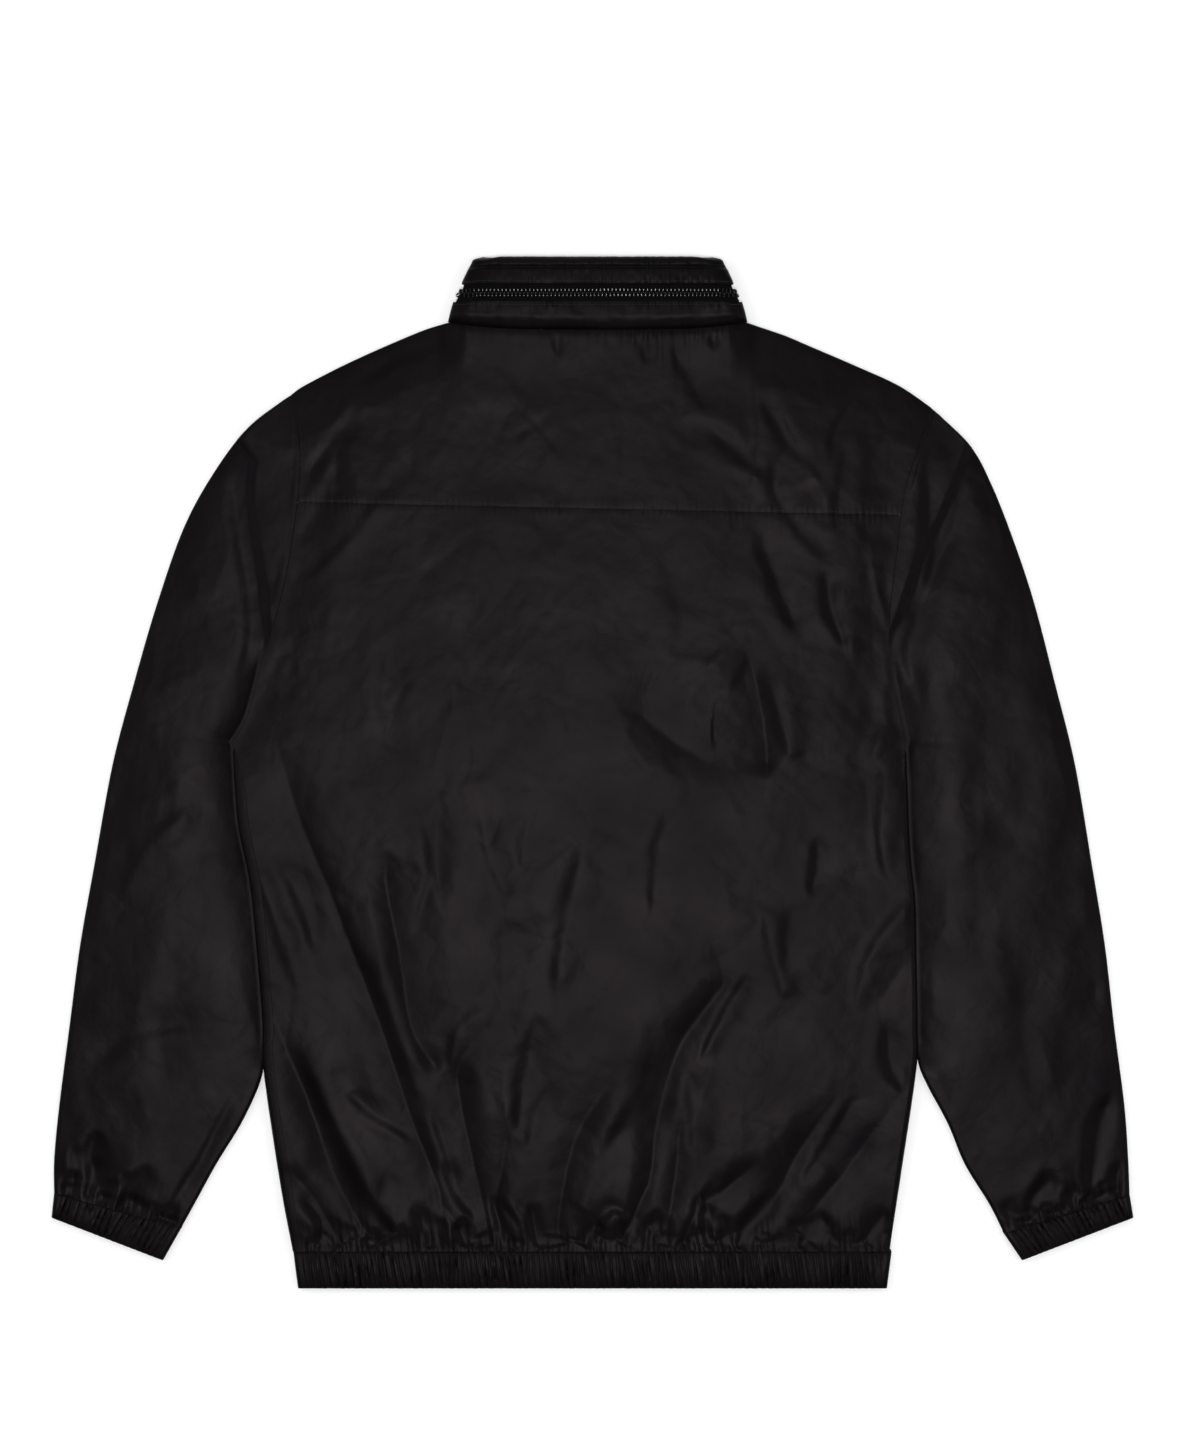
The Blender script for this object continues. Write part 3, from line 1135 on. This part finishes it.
        half_out = upper_z(width * 0 + EDGE_ROUND, np.zeros((1, 1))) / 2
        half_in = upper_z(width - EDGE_ROUND, np.ones((1, 1))) / 2
        turn = np.linspace(0, math.pi / 2, self.turn_columns)[None, :]
        tube_reach = width - EDGE_ROUND + EDGE_ROUND * np.sin(turn)
        gap = np.maximum(half_in * np.cos(turn), SEAM / 2)
        low_edge = points(tube_reach, mix(0, half_in - gap, closed))[:, ::-1]
        open_z = upper_z(tube_reach, np.ones((1, 1)))
        high_edge = points(tube_reach, mix(open_z, half_in + gap, closed))
        shares = np.linspace(0, 1, self.lower_columns + 1)[None, :]
        lower = points(mix(EDGE_ROUND, width - EDGE_ROUND, shares), shares * 0)[:, ::-1]
        angle = np.linspace(0, math.pi, 2 * self.turn_columns)[1:-1][None, :]
        curve = points(EDGE_ROUND * (1 - np.sin(angle)) + width * 0, half_out * (1 - np.cos(angle)))
        shares = np.linspace(0, 1, upper + 1)[None, :]
        reach = mix(EDGE_ROUND, width - EDGE_ROUND, shares)
        top = points(reach, upper_z(reach, shares))
        return np.concatenate([low_edge[:, :-1], lower, curve, top, high_edge[:, 1:]], axis=1)

    def sleeve(self) -> bpy.types.Object:
        """Builds the sleeve."""
        outer, inner, closed = self.lines()
        grid = self.section(outer, inner, closed, self.height, self.upper_columns)
        piece = make_cloth(f"sleeve_{self.side.label}_cloth", grid, self.finishes.taffeta, outward=True)
        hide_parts(f"sleeve_{self.side.label}")
        return piece

    def cuff(self) -> bpy.types.Object:
        """Builds the cuff: one gathered band over elastic, turned in at its free edge."""
        outer, inner, _ = self.lines()
        gap = (outer[-1] - outer[-2]) / np.linalg.norm(outer[-1] - outer[-2]) * SEAM
        first = (outer[-1] + gap, inner[-1] + gap)
        last = CUFF_EDGE[self.side]
        rows = np.concatenate([[-0.07], np.linspace(0, 1, self.cuff_rows), TURNED_SHARES])
        inset = np.concatenate([[TUCKED_INSET], np.zeros(self.cuff_rows), TURNED_INSETS])
        outer_rows = mix(first[0], last[0], rows[:, None])
        inner_rows = mix(first[1], last[1], rows[:, None])

        def height(x: Array, y: Array, share: Array) -> Array:
            """The height of the band's upper side, as `section` asks for it."""
            down = np.broadcast_to(rows[:, None], share.shape)
            body = self.cuff_height + self.cuff_swell * np.sin(math.pi * np.clip(down, 0, 1)) ** 0.6
            ends = smooth(share / 0.04) * smooth((1 - share) / 0.04)
            return body + self.cuff_gathers.at(share * 92, down * 20) * ends - 2 * inset[:, None]

        grid = self.section(outer_rows, inner_rows, np.ones(len(rows)), height, self.cuff_columns)
        grid[..., 2] += inset[:, None]
        piece = make_cloth(f"cuff_{self.side.label}_cloth", grid, self.finishes.taffeta, outward=True)
        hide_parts(f"cuff_{self.side.label}")
        return piece

    def build(self) -> list[bpy.types.Object]:
        """Builds the sleeve and its cuff."""
        return [self.sleeve(), self.cuff()]


@dataclass
class HemBand:
    """The hem band: one gathered strip over elastic, from zip to zip."""

    finishes: Finishes
    top: float = 5.6
    seam_half: float = 230.6
    edge_half: float = 227.0
    steps: int = 900
    front_steps: int = 240
    rows: int = 14
    gathers: Gathers = Gathers(11, 5.8, 0.76, 0.10, 0.2)
    under_gathers: Gathers = Gathers(51, 5.8, 0.5, 0.08)

    def row(self, share: float, inset: float) -> Array:
        """One row of the band, from one end to the other.

        Args:
            share: The share of the way from the seam to the free edge.
            inset: How far inside the band the row lies.

        Returns:
            The row's points.
        """
        y = mix(HEM_SEAM - SEAM, HEM_BOTTOM, share)
        half = mix(self.seam_half, self.edge_half, share)
        straight = half - EDGE_ROUND
        swell = 0.82 + 0.28 * math.sin(math.pi * min(max(share, 0.0), 1.0)) ** 0.6
        x_back = np.linspace(-straight, straight, self.steps + 1)
        ends = smooth((straight - np.abs(x_back)) / 8)
        z_back = self.top * swell + self.gathers.at(x_back, x_back * 0 + y - HEM_SEAM) * ends - inset
        parts = []
        for side in (Side.LEFT, Side.RIGHT):
            sign = side.value
            x = np.linspace(FRONT_X + sign * FRONT_OPENING, sign * straight, self.front_steps + 1)
            lift = np.clip(self.under_gathers.at(x, x * 0 + y - HEM_SEAM), -0.5, 0.7) + 0.5
            front = np.stack([x, x * 0 + y, lift * smooth((straight - np.abs(x)) / 8) + inset], axis=1)
            turn = np.linspace(0, math.pi, 10)[1:-1]
            middle = (z_back[0] if side is Side.LEFT else z_back[-1]) / 2
            edge_x = sign * (straight + (EDGE_ROUND - inset) * np.sin(turn))
            edge = np.stack([edge_x, edge_x * 0 + y, middle - (middle - inset) * np.cos(turn)], axis=1)
            parts.append(np.concatenate([front, edge]))
        back = np.stack([x_back, x_back * 0 + y, z_back], axis=1)
        return np.concatenate([parts[0], back, parts[1][::-1]])

    def build(self) -> bpy.types.Object:
        """Builds the band."""
        shares = [-0.06, *np.linspace(0, 1, self.rows), *TURNED_SHARES]
        insets = [TUCKED_INSET, *np.zeros(self.rows), *TURNED_INSETS]
        grid = np.stack([self.row(share, inset) for share, inset in zip(shares, insets)])
        piece = make_cloth("hem_band_cloth", grid, self.finishes.taffeta, outward=True)
        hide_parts("hem_band")
        return piece


@dataclass
class Collar:
    """The stand collar: two bands with a zip between them, and the rolled hood inside."""

    finishes: Finishes
    edge_round: ClassVar[float] = 14.0
    heights: ClassVar[tuple[float, ...]] = (0, 9, 17, 25, 32, 40, 44, 48, 50)
    halves: ClassVar[tuple[float, ...]] = (115.3, 113, 110.6, 106, 103.7, 99.9, 97.6, 96, 88.3)
    rise_heights: ClassVar[tuple[float, ...]] = (0, 3, 6.5, 11, 17, 34, 40, 41.5, 43.5, 47, 49.2, 50)
    rises: ClassVar[tuple[float, ...]] = (10.4, 13.5, 15.1, 15.2, 14.8, 14.8, 14.3, 13.3, 14.4, 13.1, 10.9, 8.6)
    back_dip: ClassVar[float] = 6.0
    front_drop: ClassVar[float] = 30.0
    lower_top: float = 15.0
    upper_low: float = 29.0
    zip_end: float = 42.0
    slider_room: float = 3.0
    lift_start: float = -38.0
    lift_full: float = -20.0
    lift_end: float = 70.0
    layers_part: float = 4.0
    turned: float = 1.2
    stitched_low: float = 13.2
    stitched_high: float = 30.8
    groove: float = 41.5
    front_columns: int = 46
    edge_columns: int = 12
    back_columns: int = 150
    puckers: Gathers = Gathers(83, 7.0, 0.3, 0.05)

    @classmethod
    def half_width(cls, height: float) -> float:
        """Half the collar's width at a height above the neck seam."""
        return float(np.interp(height, cls.heights, cls.halves))

    @classmethod
    def back_neck_y(cls, x: Array) -> Array:
        """The back neck seam's y."""
        share = np.clip(np.abs(x - COLLAR_X) / cls.half_width(0), 0, 1)
        return NECK_SIDE - cls.back_dip * (1 - share**4)

    @classmethod
    def front_neck_y(cls, x: Array) -> Array:
        """The front neck seam's y."""
        share = np.clip(np.abs(x - COLLAR_X) / cls.half_width(0), 0, 1)
        return NECK_SIDE - cls.front_drop * (1 - share**2)

    def lift(self, x: Array, height: Array, half: float) -> Array:
        """How far the collar's front lies over the sliders under it."""
        offset = x - FRONT_X
        end = COLLAR_X + half - self.edge_round - FRONT_X
        low = np.clip((offset - self.lift_start) / (self.lift_full - self.lift_start), 0, 1)
        high = np.clip((end - offset) / (end - self.lift_end), 0, 1)
        return self.slider_room * np.minimum(low, high) * np.clip(height / self.lower_top, 0, 1)

    def row(self, height: float, ends: Place, inset: float = 0.0,
            front: Callable[[Array], Array] | None = None) -> Array:
        """One row round the collar, from one front end to the other.

        Args:
            height: The row's height above the neck seam.
            ends: How far from the centre front the row ends on the left and on the right.
            inset: How far inside the collar's outside the row lies.
            front: The height in the front layer by x, where it differs.

        Returns:
            The row's points.
        """
        half = self.half_width(height)
        straight = half - self.edge_round
        high = float(np.interp(height, self.rise_heights, self.rises))
        parts = []
        for side, end in zip(Side, ends):
            sign = side.value
            x = np.linspace(FRONT_X + sign * end, COLLAR_X + sign * straight, self.front_columns + 1)
            own = front(x) if front else x * 0 + height
            z = self.lift(x, own, half) + inset
            share = np.clip(np.abs(x - COLLAR_X) / half, 0, 1)
            y = NECK_SIDE + own - self.front_drop * (1 - share**2)
            turn = np.linspace(0, 1, self.edge_columns + 1)[1:-1]
            edge_x = COLLAR_X + sign * (straight + (self.edge_round - inset) * np.sin(math.pi * turn))
            share = np.clip(np.abs(edge_x - COLLAR_X) / half, 0, 1)
            drop, dip = self.front_drop * (1 - share**2), self.dip(share, height)
            edge_z = high / 2 - (high / 2 - inset) * np.cos(math.pi * turn)
            edge = np.stack([edge_x, NECK_SIDE + height - mix(drop, dip, turn), edge_z], axis=1)
            parts.append(np.concatenate([np.stack([x, y, z], axis=1), edge]))
        x = np.linspace(COLLAR_X - straight, COLLAR_X + straight, self.back_columns + 1)
        y = NECK_SIDE + height - self.dip(np.abs(x - COLLAR_X) / half, height)
        back = np.stack([x, y, x * 0 + high - inset], axis=1)
        return np.concatenate([parts[0], back, parts[1][::-1]])

    def dip(self, share: Array, height: float) -> Array:
        """How far the back layer dips below the neck's sides."""
        return self.back_dip * (1 - share**4) * (1 - np.clip(height / self.lower_top, 0, 1))

    def detail(self, grid: Array, heights: Sequence[float]) -> Array:
        """Adds puckers and soft waves to the back layer of a band."""
        x, y = grid[..., 0], grid[..., 1]
        h = np.array(heights)[:, None]
        up = smooth((grid[..., 2] - 5) / 4)
        groove = np.exp(-(((h - self.groove) / 4.0) ** 2)) + 0.6 * np.exp(-(((h - 47.5) / 2.5) ** 2))
        low, high = (h - self.stitched_low) / 2.4, (h - self.stitched_high) / 2.4
        rows = np.exp(-(low**2)) + np.exp(-(high**2)) + np.exp(-((h / 3.0) ** 2))
        wave = Waves(87, 12, 50, 0.32).at(x, y) + Crumples(88.0, 26, 4, 0.35).at(x, y)
        depth = 1.1 + 0.6 * Waves(91, 8, 50, 1.0, 10).at(x, x * 0)
        sunk = depth * np.exp(-(((h - 42.0) / 1.5) ** 2)) + 1.1 * np.exp(-((h / 1.8) ** 2))
        grid[..., 2] += up * (self.puckers.at(x, y) * (1.7 * groove + 1.4 * rows) + wave - sunk)
        grid[..., 1] += 0.35 * up * smooth((h - 45) / 4) * self.puckers.at(x + 3, y)
        return grid

    def band(self, name: str, heights: Sequence[float],
             front: Callable[[Array], Array] | None = None) -> bpy.types.Object:
        """Builds one band.

        Args:
            name: The band's CAD node.
            heights: The heights of its rows.
            front: The height of the first row in the front layer, where it differs.

        Returns:
            The band.
        """
        ends = (FRONT_OPENING, FRONT_OPENING)
        last = len(heights) - 1
        rows = []
        for k, height in enumerate(heights):
            fade = 1 - k / last

            def own(x: Array, height: float = height, fade: float = fade) -> Array:
                """The row's height in the front layer."""
                return height + (front(x) - heights[0]) * fade

            rows.append(self.row(height, ends, front=own if front else None))
        grid = self.detail(np.stack(rows), heights)
        under = grid[[0, -1]]
        under[..., 2] += np.where(under[..., 2] > self.layers_part, -self.turned, self.turned)
        grid = np.concatenate([under[:1], grid, under[1:]])
        piece = make_cloth(f"{name}_cloth", grid, self.finishes.taffeta, outward=True)
        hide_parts(name)
        return piece

    def lower_band(self) -> bpy.types.Object:
        """Builds the lower band."""
        piece = self.band("collar_lower_band", list(np.linspace(0, self.lower_top, 12)))
        return piece

    def upper_band(self) -> bpy.types.Object:
        """Builds the upper band, which reaches down to the lower one beside the front zip."""

        def lowest(x: Array) -> Array:
            """The lower edge's height in the front layer."""
            beside = smooth((self.zip_end + 2 - np.abs(x - FRONT_X)) / 4)
            return mix(self.upper_low, self.lower_top + SEAM, beside)

        fine = (40.8, 41.5, 42.3, 43.2, 44.5, 46, 47.2, 48.4, 49.2, 49.7, 50)
        heights = [*np.linspace(self.upper_low, 40, 9), *fine]
        piece = self.band("collar_upper_band", heights, lowest)
        return piece

    def hood(self) -> bpy.types.Object:
        """Builds the hood, rolled up between the layers of the collar."""
        half = self.half_width(24)
        reach = half - self.edge_round - 6
        rings = []
        for s in np.linspace(-1, 1, 90):
            x = COLLAR_X + s * reach
            fullness = 0.35 + 0.65 * math.sqrt(max(0.0, 1 - s**6))
            low = float(self.lift(np.array(x), np.array(self.lower_top), half)) + 3.3
            angle = np.linspace(0, 2 * math.pi, 49)
            wrinkle = 1 - 0.07 * np.abs(np.sin(2.5 * angle + 9 * s)) - 0.05 * np.sin(23 * s + 3 * angle) ** 2
            height = 24 + 19 * fullness * np.cos(angle) * wrinkle
            up = np.sign(np.sin(angle)) * np.abs(np.sin(angle)) ** 0.7 * wrinkle
            high = np.interp(height, self.rise_heights, self.rises) - 3.0
            z = (low + high) / 2 + (high - low) / 2 * up * fullness
            rings.append(np.stack([x + angle * 0, NECK_SIDE + height, z], axis=1))
        ends = [rings[0].mean(0)[None] + rings[0] * 0, rings[-1].mean(0)[None] + rings[-1] * 0]
        grid = np.stack([ends[0], *rings, ends[1]])
        piece = make_cloth("hood_rolled_cloth", grid, self.finishes.taffeta, outward=True)
        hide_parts("hood_rolled")
        return piece

    def build(self) -> list[bpy.types.Object]:
        """Builds the collar's cloth."""
        return [self.lower_band(), self.upper_band(), self.hood()]


@dataclass
class Zips:
    """The two moulded zips: tapes, interlocked teeth, stops, sliders and pull tabs."""

    finishes: Finishes
    collar: Collar
    pitch: float = 3.0
    chain_low: float = 18.5
    chain_ends: tuple[float, float] = (44.0, 54.3)
    chain_width: float = 6.6
    tooth_width: float = 1.15
    head_start: float = 2.0
    head_slope: float = 0.5
    collar_teeth_height: float = 2.4
    front_teeth_height: float = 1.75
    tape_half: float = 14.0
    slider_lift: float = 3.0
    zip_inset: float = 1.9

    def tooth(self, thick: float) -> tuple[Array, list[list[int]]]:
        """One tooth that points along +Y from its root, lying on z = 0.

        Args:
            thick: How far it stands up.

        Returns:
            Its points and faces.
        """
        half = self.tooth_width / 2
        reach = self.chain_width / 2 + 0.6
        right = [(half, 0), (half * 0.8, reach - 2.1), (half * 1.12, reach - 1.2), (half * 0.9, reach - 0.25),
                 (half * 0.35, reach)]
        left = [(-x, y) for x, y in right[::-1]]
        outline = np.array([left[-1], *right, *left[:-1]])
        centre = outline.mean(0)
        rings = [(1.0, 0.0), (1.0, thick - 0.6), (0.86, thick - 0.2), (0.62, thick)]
        points = np.concatenate([np.column_stack([mix(centre, outline, size), np.full(10, z)])
                                 for size, z in rings])
        points[10:, 2] -= self.head_slope * np.clip(points[10:, 1] - self.head_start, 0, 1.9)
        faces = [[10 * r + k, 10 * r + (k + 1) % 10, 10 * r + 10 + (k + 1) % 10, 10 * r + 10 + k]
                 for r in range(3) for k in range(10)]
        return points, [*faces, list(range(30, 40)), list(range(9, -1, -1))]

    def teeth_along(self, low: Array, high: Array, thick: float) -> tuple[Array, list[list[int]]]:
        """Two interlocked rows of teeth between two lines.

        Args:
            low: The line of roots of the first row.
            high: The line of roots of the second row.
            thick: How far the teeth stand up.

        Returns:
            All the teeth's points and faces.
        """
        template, template_faces = self.tooth(thick)
        middle = (low + high) / 2
        count = int(lengths_along(middle)[-1] / self.pitch)
        points, faces = [], []
        for row, shift in ((0, 0.25), (1, 0.75)):
            share = (np.arange(count) + shift) / count
            at = at_share(middle, share)
            before, after = np.clip(share - 0.002, 0, 1), np.clip(share + 0.002, 0, 1)
            ahead = at_share(middle, after) - at_share(middle, before)
            ahead /= np.linalg.norm(ahead, axis=1)[:, None]
            across = at_share(high, share) - at_share(low, share)
            across -= (across * ahead).sum(1)[:, None] * ahead
            across /= np.linalg.norm(across, axis=1)[:, None]
            out = np.cross(ahead, across)
            sign = 1 - 2 * row
            root = at - sign * across * self.chain_width / 2
            for k in range(count):
                base = len(points) * len(template)
                points.append(root[k] + template[:, :1] * ahead[k] * sign + template[:, 1:2] * across[k] * sign
                              + template[:, 2:] * out[k])
                faces.extend([[base + i for i in face] for face in template_faces])
        return np.concatenate(points), faces

    def collar_zip(self) -> list[bpy.types.Object]:
        """Builds the zip round the collar."""
        ends = (self.collar.zip_end, self.collar.zip_end)
        depth = self.zip_inset
        heights = [13.4, 15.5, 17.4, 18.5, 21.8, 25.1, 26.4, 28.4, 30.6]
        tape = make_cloth("collar_zip_tape_woven", np.stack([self.collar.row(h, ends, depth) for h in heights]),
                          self.finishes.tape, outward=True)
        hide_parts("collar_zip_tape")
        chain_ends = self.chain_ends
        low = self.collar.row(self.chain_low, chain_ends, depth)
        high = self.collar.row(self.chain_low + self.chain_width, chain_ends, depth)
        points, faces = self.teeth_along(low, high, self.collar_teeth_height)
        points[:, 2] = np.maximum(points[:, 2], 0.0)
        teeth = make_mesh("collar_zip_teeth", points, faces, self.finishes.teeth,
                          outward=True, sharp=35)
        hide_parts("collar_zip_chain")
        return [tape, teeth]

    def front_zip(self) -> list[bpy.types.Object]:
        """Builds the zip down the centre front, on the side that the jacket lies on."""
        neck = NECK_SIDE - self.collar.front_drop
        y = np.array([HEM_BOTTOM + 1, neck, neck + 15, neck + 39])
        lift = np.array([0, 0, self.slider_lift, self.slider_lift])
        fine = np.linspace(y[0], y[-1], 320)
        rise = np.interp(fine, y, lift)
        x = FRONT_X + self.tape_half * np.array([-1, -0.98, -0.7, -0.24, 0.24, 0.7, 0.98, 1])
        z = np.array([2.6, 2.05, 2.0, 2.0, 2.0, 2.0, 2.05, 2.6])
        grid = np.stack([np.stack([x, x * 0 + v, z + r], axis=1) for v, r in zip(fine, rise)])
        tape = make_cloth("front_zip_tape_woven", grid, self.finishes.tape)
        half = self.chain_width / 2
        right = np.column_stack([fine * 0 + FRONT_X + half, fine, rise + 2.1])
        left = np.column_stack([fine * 0 + FRONT_X - half, fine, rise + 2.1])
        points, faces = self.teeth_along(right, left, self.front_teeth_height)
        stop = np.array([[x, y, z] for z in (2.2, 0.35) for x, y in ((-4.2, 0), (4.2, 0), (4.2, 7), (-4.2, 7))])
        stop += np.array([FRONT_X, HEM_BOTTOM + 1.2, 0])
        base = len(points)
        box = [[0, 1, 2, 3], [7, 6, 5, 4], [0, 4, 5, 1], [1, 5, 6, 2], [2, 6, 7, 3], [3, 7, 4, 0]]
        points = np.concatenate([points, stop])
        faces += [[base + i for i in side] for side in box]
        teeth = make_mesh("front_zip_teeth", points, faces, self.finishes.teeth,
                          outward=True, sharp=35)
        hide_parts("front_zip_chain")
        return [tape, teeth]

    def metal_parts(self) -> list[bpy.types.Object]:
        """Finishes the sliders and pull tabs."""
        names = [f"{zip_name}_zip_{part}" for zip_name in ("front", "collar") for part in ("slider", "pull")]
        parts = [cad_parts[name] for name in names]
        for part in parts:
            part.data.materials.clear()
            part.data.materials.append(self.finishes.metal)
        return parts

    def build(self) -> list[bpy.types.Object]:
        """Builds both zips."""
        return [*self.collar_zip(), *self.front_zip(), *self.metal_parts()]


@dataclass
class Stitching:
    """Rows of topstitching in fine thread."""

    finishes: Finishes
    back: BackCloth
    collar: Collar
    pitch: float = 2.6
    length: float = 1.9
    thick: float = 0.52

    def row(self, name: str, line: Array) -> bpy.types.Object:
        """One row of stitches along a line on the cloth.

        Args:
            name: The row's name.
            line: The line's points.

        Returns:
            The row.
        """
        count = int(lengths_along(line)[-1] / self.pitch)
        starts = at_share(line, np.arange(count) / count)
        ends = at_share(line, (np.arange(count) + self.length / self.pitch) / count)
        points, faces = [], []
        stations = ((0.0, 0.25, -0.22), (0.25, 0.9, 0.02), (0.75, 0.9, 0.02), (1.0, 0.25, -0.22))
        angles = np.linspace(0, 2 * math.pi, 7)[:-1]
        for start, end in zip(starts, ends):
            ahead = (end - start) / np.linalg.norm(end - start)
            side = np.cross((0, 0, 1), ahead)
            side /= np.linalg.norm(side)
            up = np.cross(ahead, side)
            base = len(points)
            for share, size, lift in stations:
                middle = mix(start, end, share) + up * (lift + 0.12)
                for angle in angles:
                    offset = side * math.cos(angle) + up * math.sin(angle) * 0.8
                    points.append(middle + self.thick / 2 * size * offset)
            faces += [[base + 6 * r + k, base + 6 * r + (k + 1) % 6,
                       base + 6 * r + 6 + (k + 1) % 6, base + 6 * r + 6 + k]
                      for r in range(3) for k in range(6)]
        return make_mesh(name, np.array(points), faces, self.finishes.thread, outward=True)

    def yoke_line(self, above: float) -> Array:
        """A line beside the yoke seam."""
        x = np.linspace(-225, 231, 500)
        y = yoke_seam_y(x) + above
        return np.column_stack([x, y, self.back.height(x, y)])

    def collar_line(self, height: float) -> Array:
        """A line round the collar's back layer."""
        near = [height - 0.4, height, height + 0.4]
        grid = np.stack([self.collar.row(h, (FRONT_OPENING, FRONT_OPENING)) for h in near])
        row = self.collar.detail(grid, near)[1]
        return row[row[:, 2] > 5.5]

    def build(self) -> list[bpy.types.Object]:
        """Builds the rows."""
        rows = [self.row("yoke_topstitch", self.yoke_line(1.9))]
        collar = self.collar
        places = {"lower": collar.stitched_low, "upper": collar.stitched_high, "groove": collar.groove}
        for name, height in places.items():
            rows.append(self.row(f"collar_{name}_topstitch", self.collar_line(height)))
        return rows


@dataclass(frozen=True)
class Softbox:
    """A soft studio light that faces the jacket."""

    name: str
    place: tuple[float, float, float]
    size: tuple[float, float]
    power: float

    def build(self) -> None:
        """Adds the light."""
        light = bpy.data.lights.new(self.name, "AREA")
        light.shape = "RECTANGLE"
        light.size, light.size_y = self.size
        light.energy = self.power
        lamp = bpy.data.objects.new(self.name, light)
        lamp.location = self.place
        lamp.rotation_euler = (Vector((0, 0, 0)) - Vector(self.place)).to_track_quat("-Z", "Y").to_euler()
        bpy.context.scene.collection.objects.link(lamp)


@dataclass
class Studio:
    """The camera straight over the jacket, the white surface and the soft lights."""

    centre: Place = (0.0058, 0.04065)
    view_height: float = 1.1088
    lens: float = 100.0
    sensor: float = 36.0
    world: float = 0.09
    surface_gap: float = 0.0003
    boxes: tuple[Softbox, ...] = (
        Softbox("overhead_box", (-0.04, -0.32, 3.6), (0.72, 0.95), 64),
        Softbox("glint_box", (0.048, 1.25, 3.6), (0.06, 0.75), 9),
        Softbox("strip_box", (-0.10, 0.76, 3.6), (0.6, 0.12), 0.6),
        Softbox("left_box", (-1.9, 0.4, 1.3), (1.6, 2.0), 18),
        Softbox("right_box", (1.9, 0.1, 1.3), (1.6, 2.0), 15),
        Softbox("hem_box", (0.1, -2.0, 1.3), (2.0, 1.4), 9),
        Softbox("collar_box", (0.0, 2.0, 1.4), (2.0, 1.4), 11),
    )

    def camera(self) -> None:
        """Adds the camera and makes it the scene's own."""
        data = bpy.data.cameras.new("camera")
        data.lens = self.lens
        data.sensor_width = self.sensor
        data.clip_end = 20
        camera = bpy.data.objects.new("camera", data)
        camera.location = (*self.centre, self.lens / self.sensor * self.view_height + 0.006)
        bpy.context.scene.collection.objects.link(camera)
        bpy.context.scene.camera = camera

    def surroundings(self) -> None:
        """Adds the surface, the lights and the pale world."""
        mesh = bpy.data.meshes.new("surface")
        reach = 4.0
        corners = ((-reach, -reach), (reach, -reach), (reach, reach), (-reach, reach))
        mesh.from_pydata([(*corner, -self.surface_gap) for corner in corners], [], [(0, 1, 2, 3)])
        mesh.materials.append(Paper().material())
        surface = bpy.data.objects.new("surface", mesh)
        bpy.context.scene.collection.objects.link(surface)
        for box in self.boxes:
            box.build()
        world = bpy.data.worlds.new("pale_room")
        world.use_nodes = True
        background = world.node_tree.nodes["Background"]
        background.inputs["Color"].default_value = (1, 1, 1, 1)
        background.inputs["Strength"].default_value = self.world
        bpy.context.scene.world = world
        bpy.context.scene.view_settings.view_transform = "Standard"


def report(pieces: Sequence[bpy.types.Object]) -> None:
    """Logs the pieces that were built."""
    for piece in pieces:
        LOG.info("%s: %d faces", piece.name, len(piece.data.polygons))


def main() -> None:
    """Builds the scene."""
    logging.basicConfig(level=logging.INFO, format="%(name)s: %(message)s")
    studio = Studio()
    studio.camera()
    finishes = Finishes()
    back = BackCloth(finishes)
    for side in Side:
        report([FrontCloth(finishes, back, side).build()])
    report(back.build())
    for side in Side:
        report(SleeveCloth(finishes, side).build())
    report([HemBand(finishes).build()])
    collar = Collar(finishes)
    report(collar.build())
    report(Zips(finishes, collar).build())
    report(Stitching(finishes, back, collar).build())
    studio.surroundings()


if __name__ == "__main__":
    main()
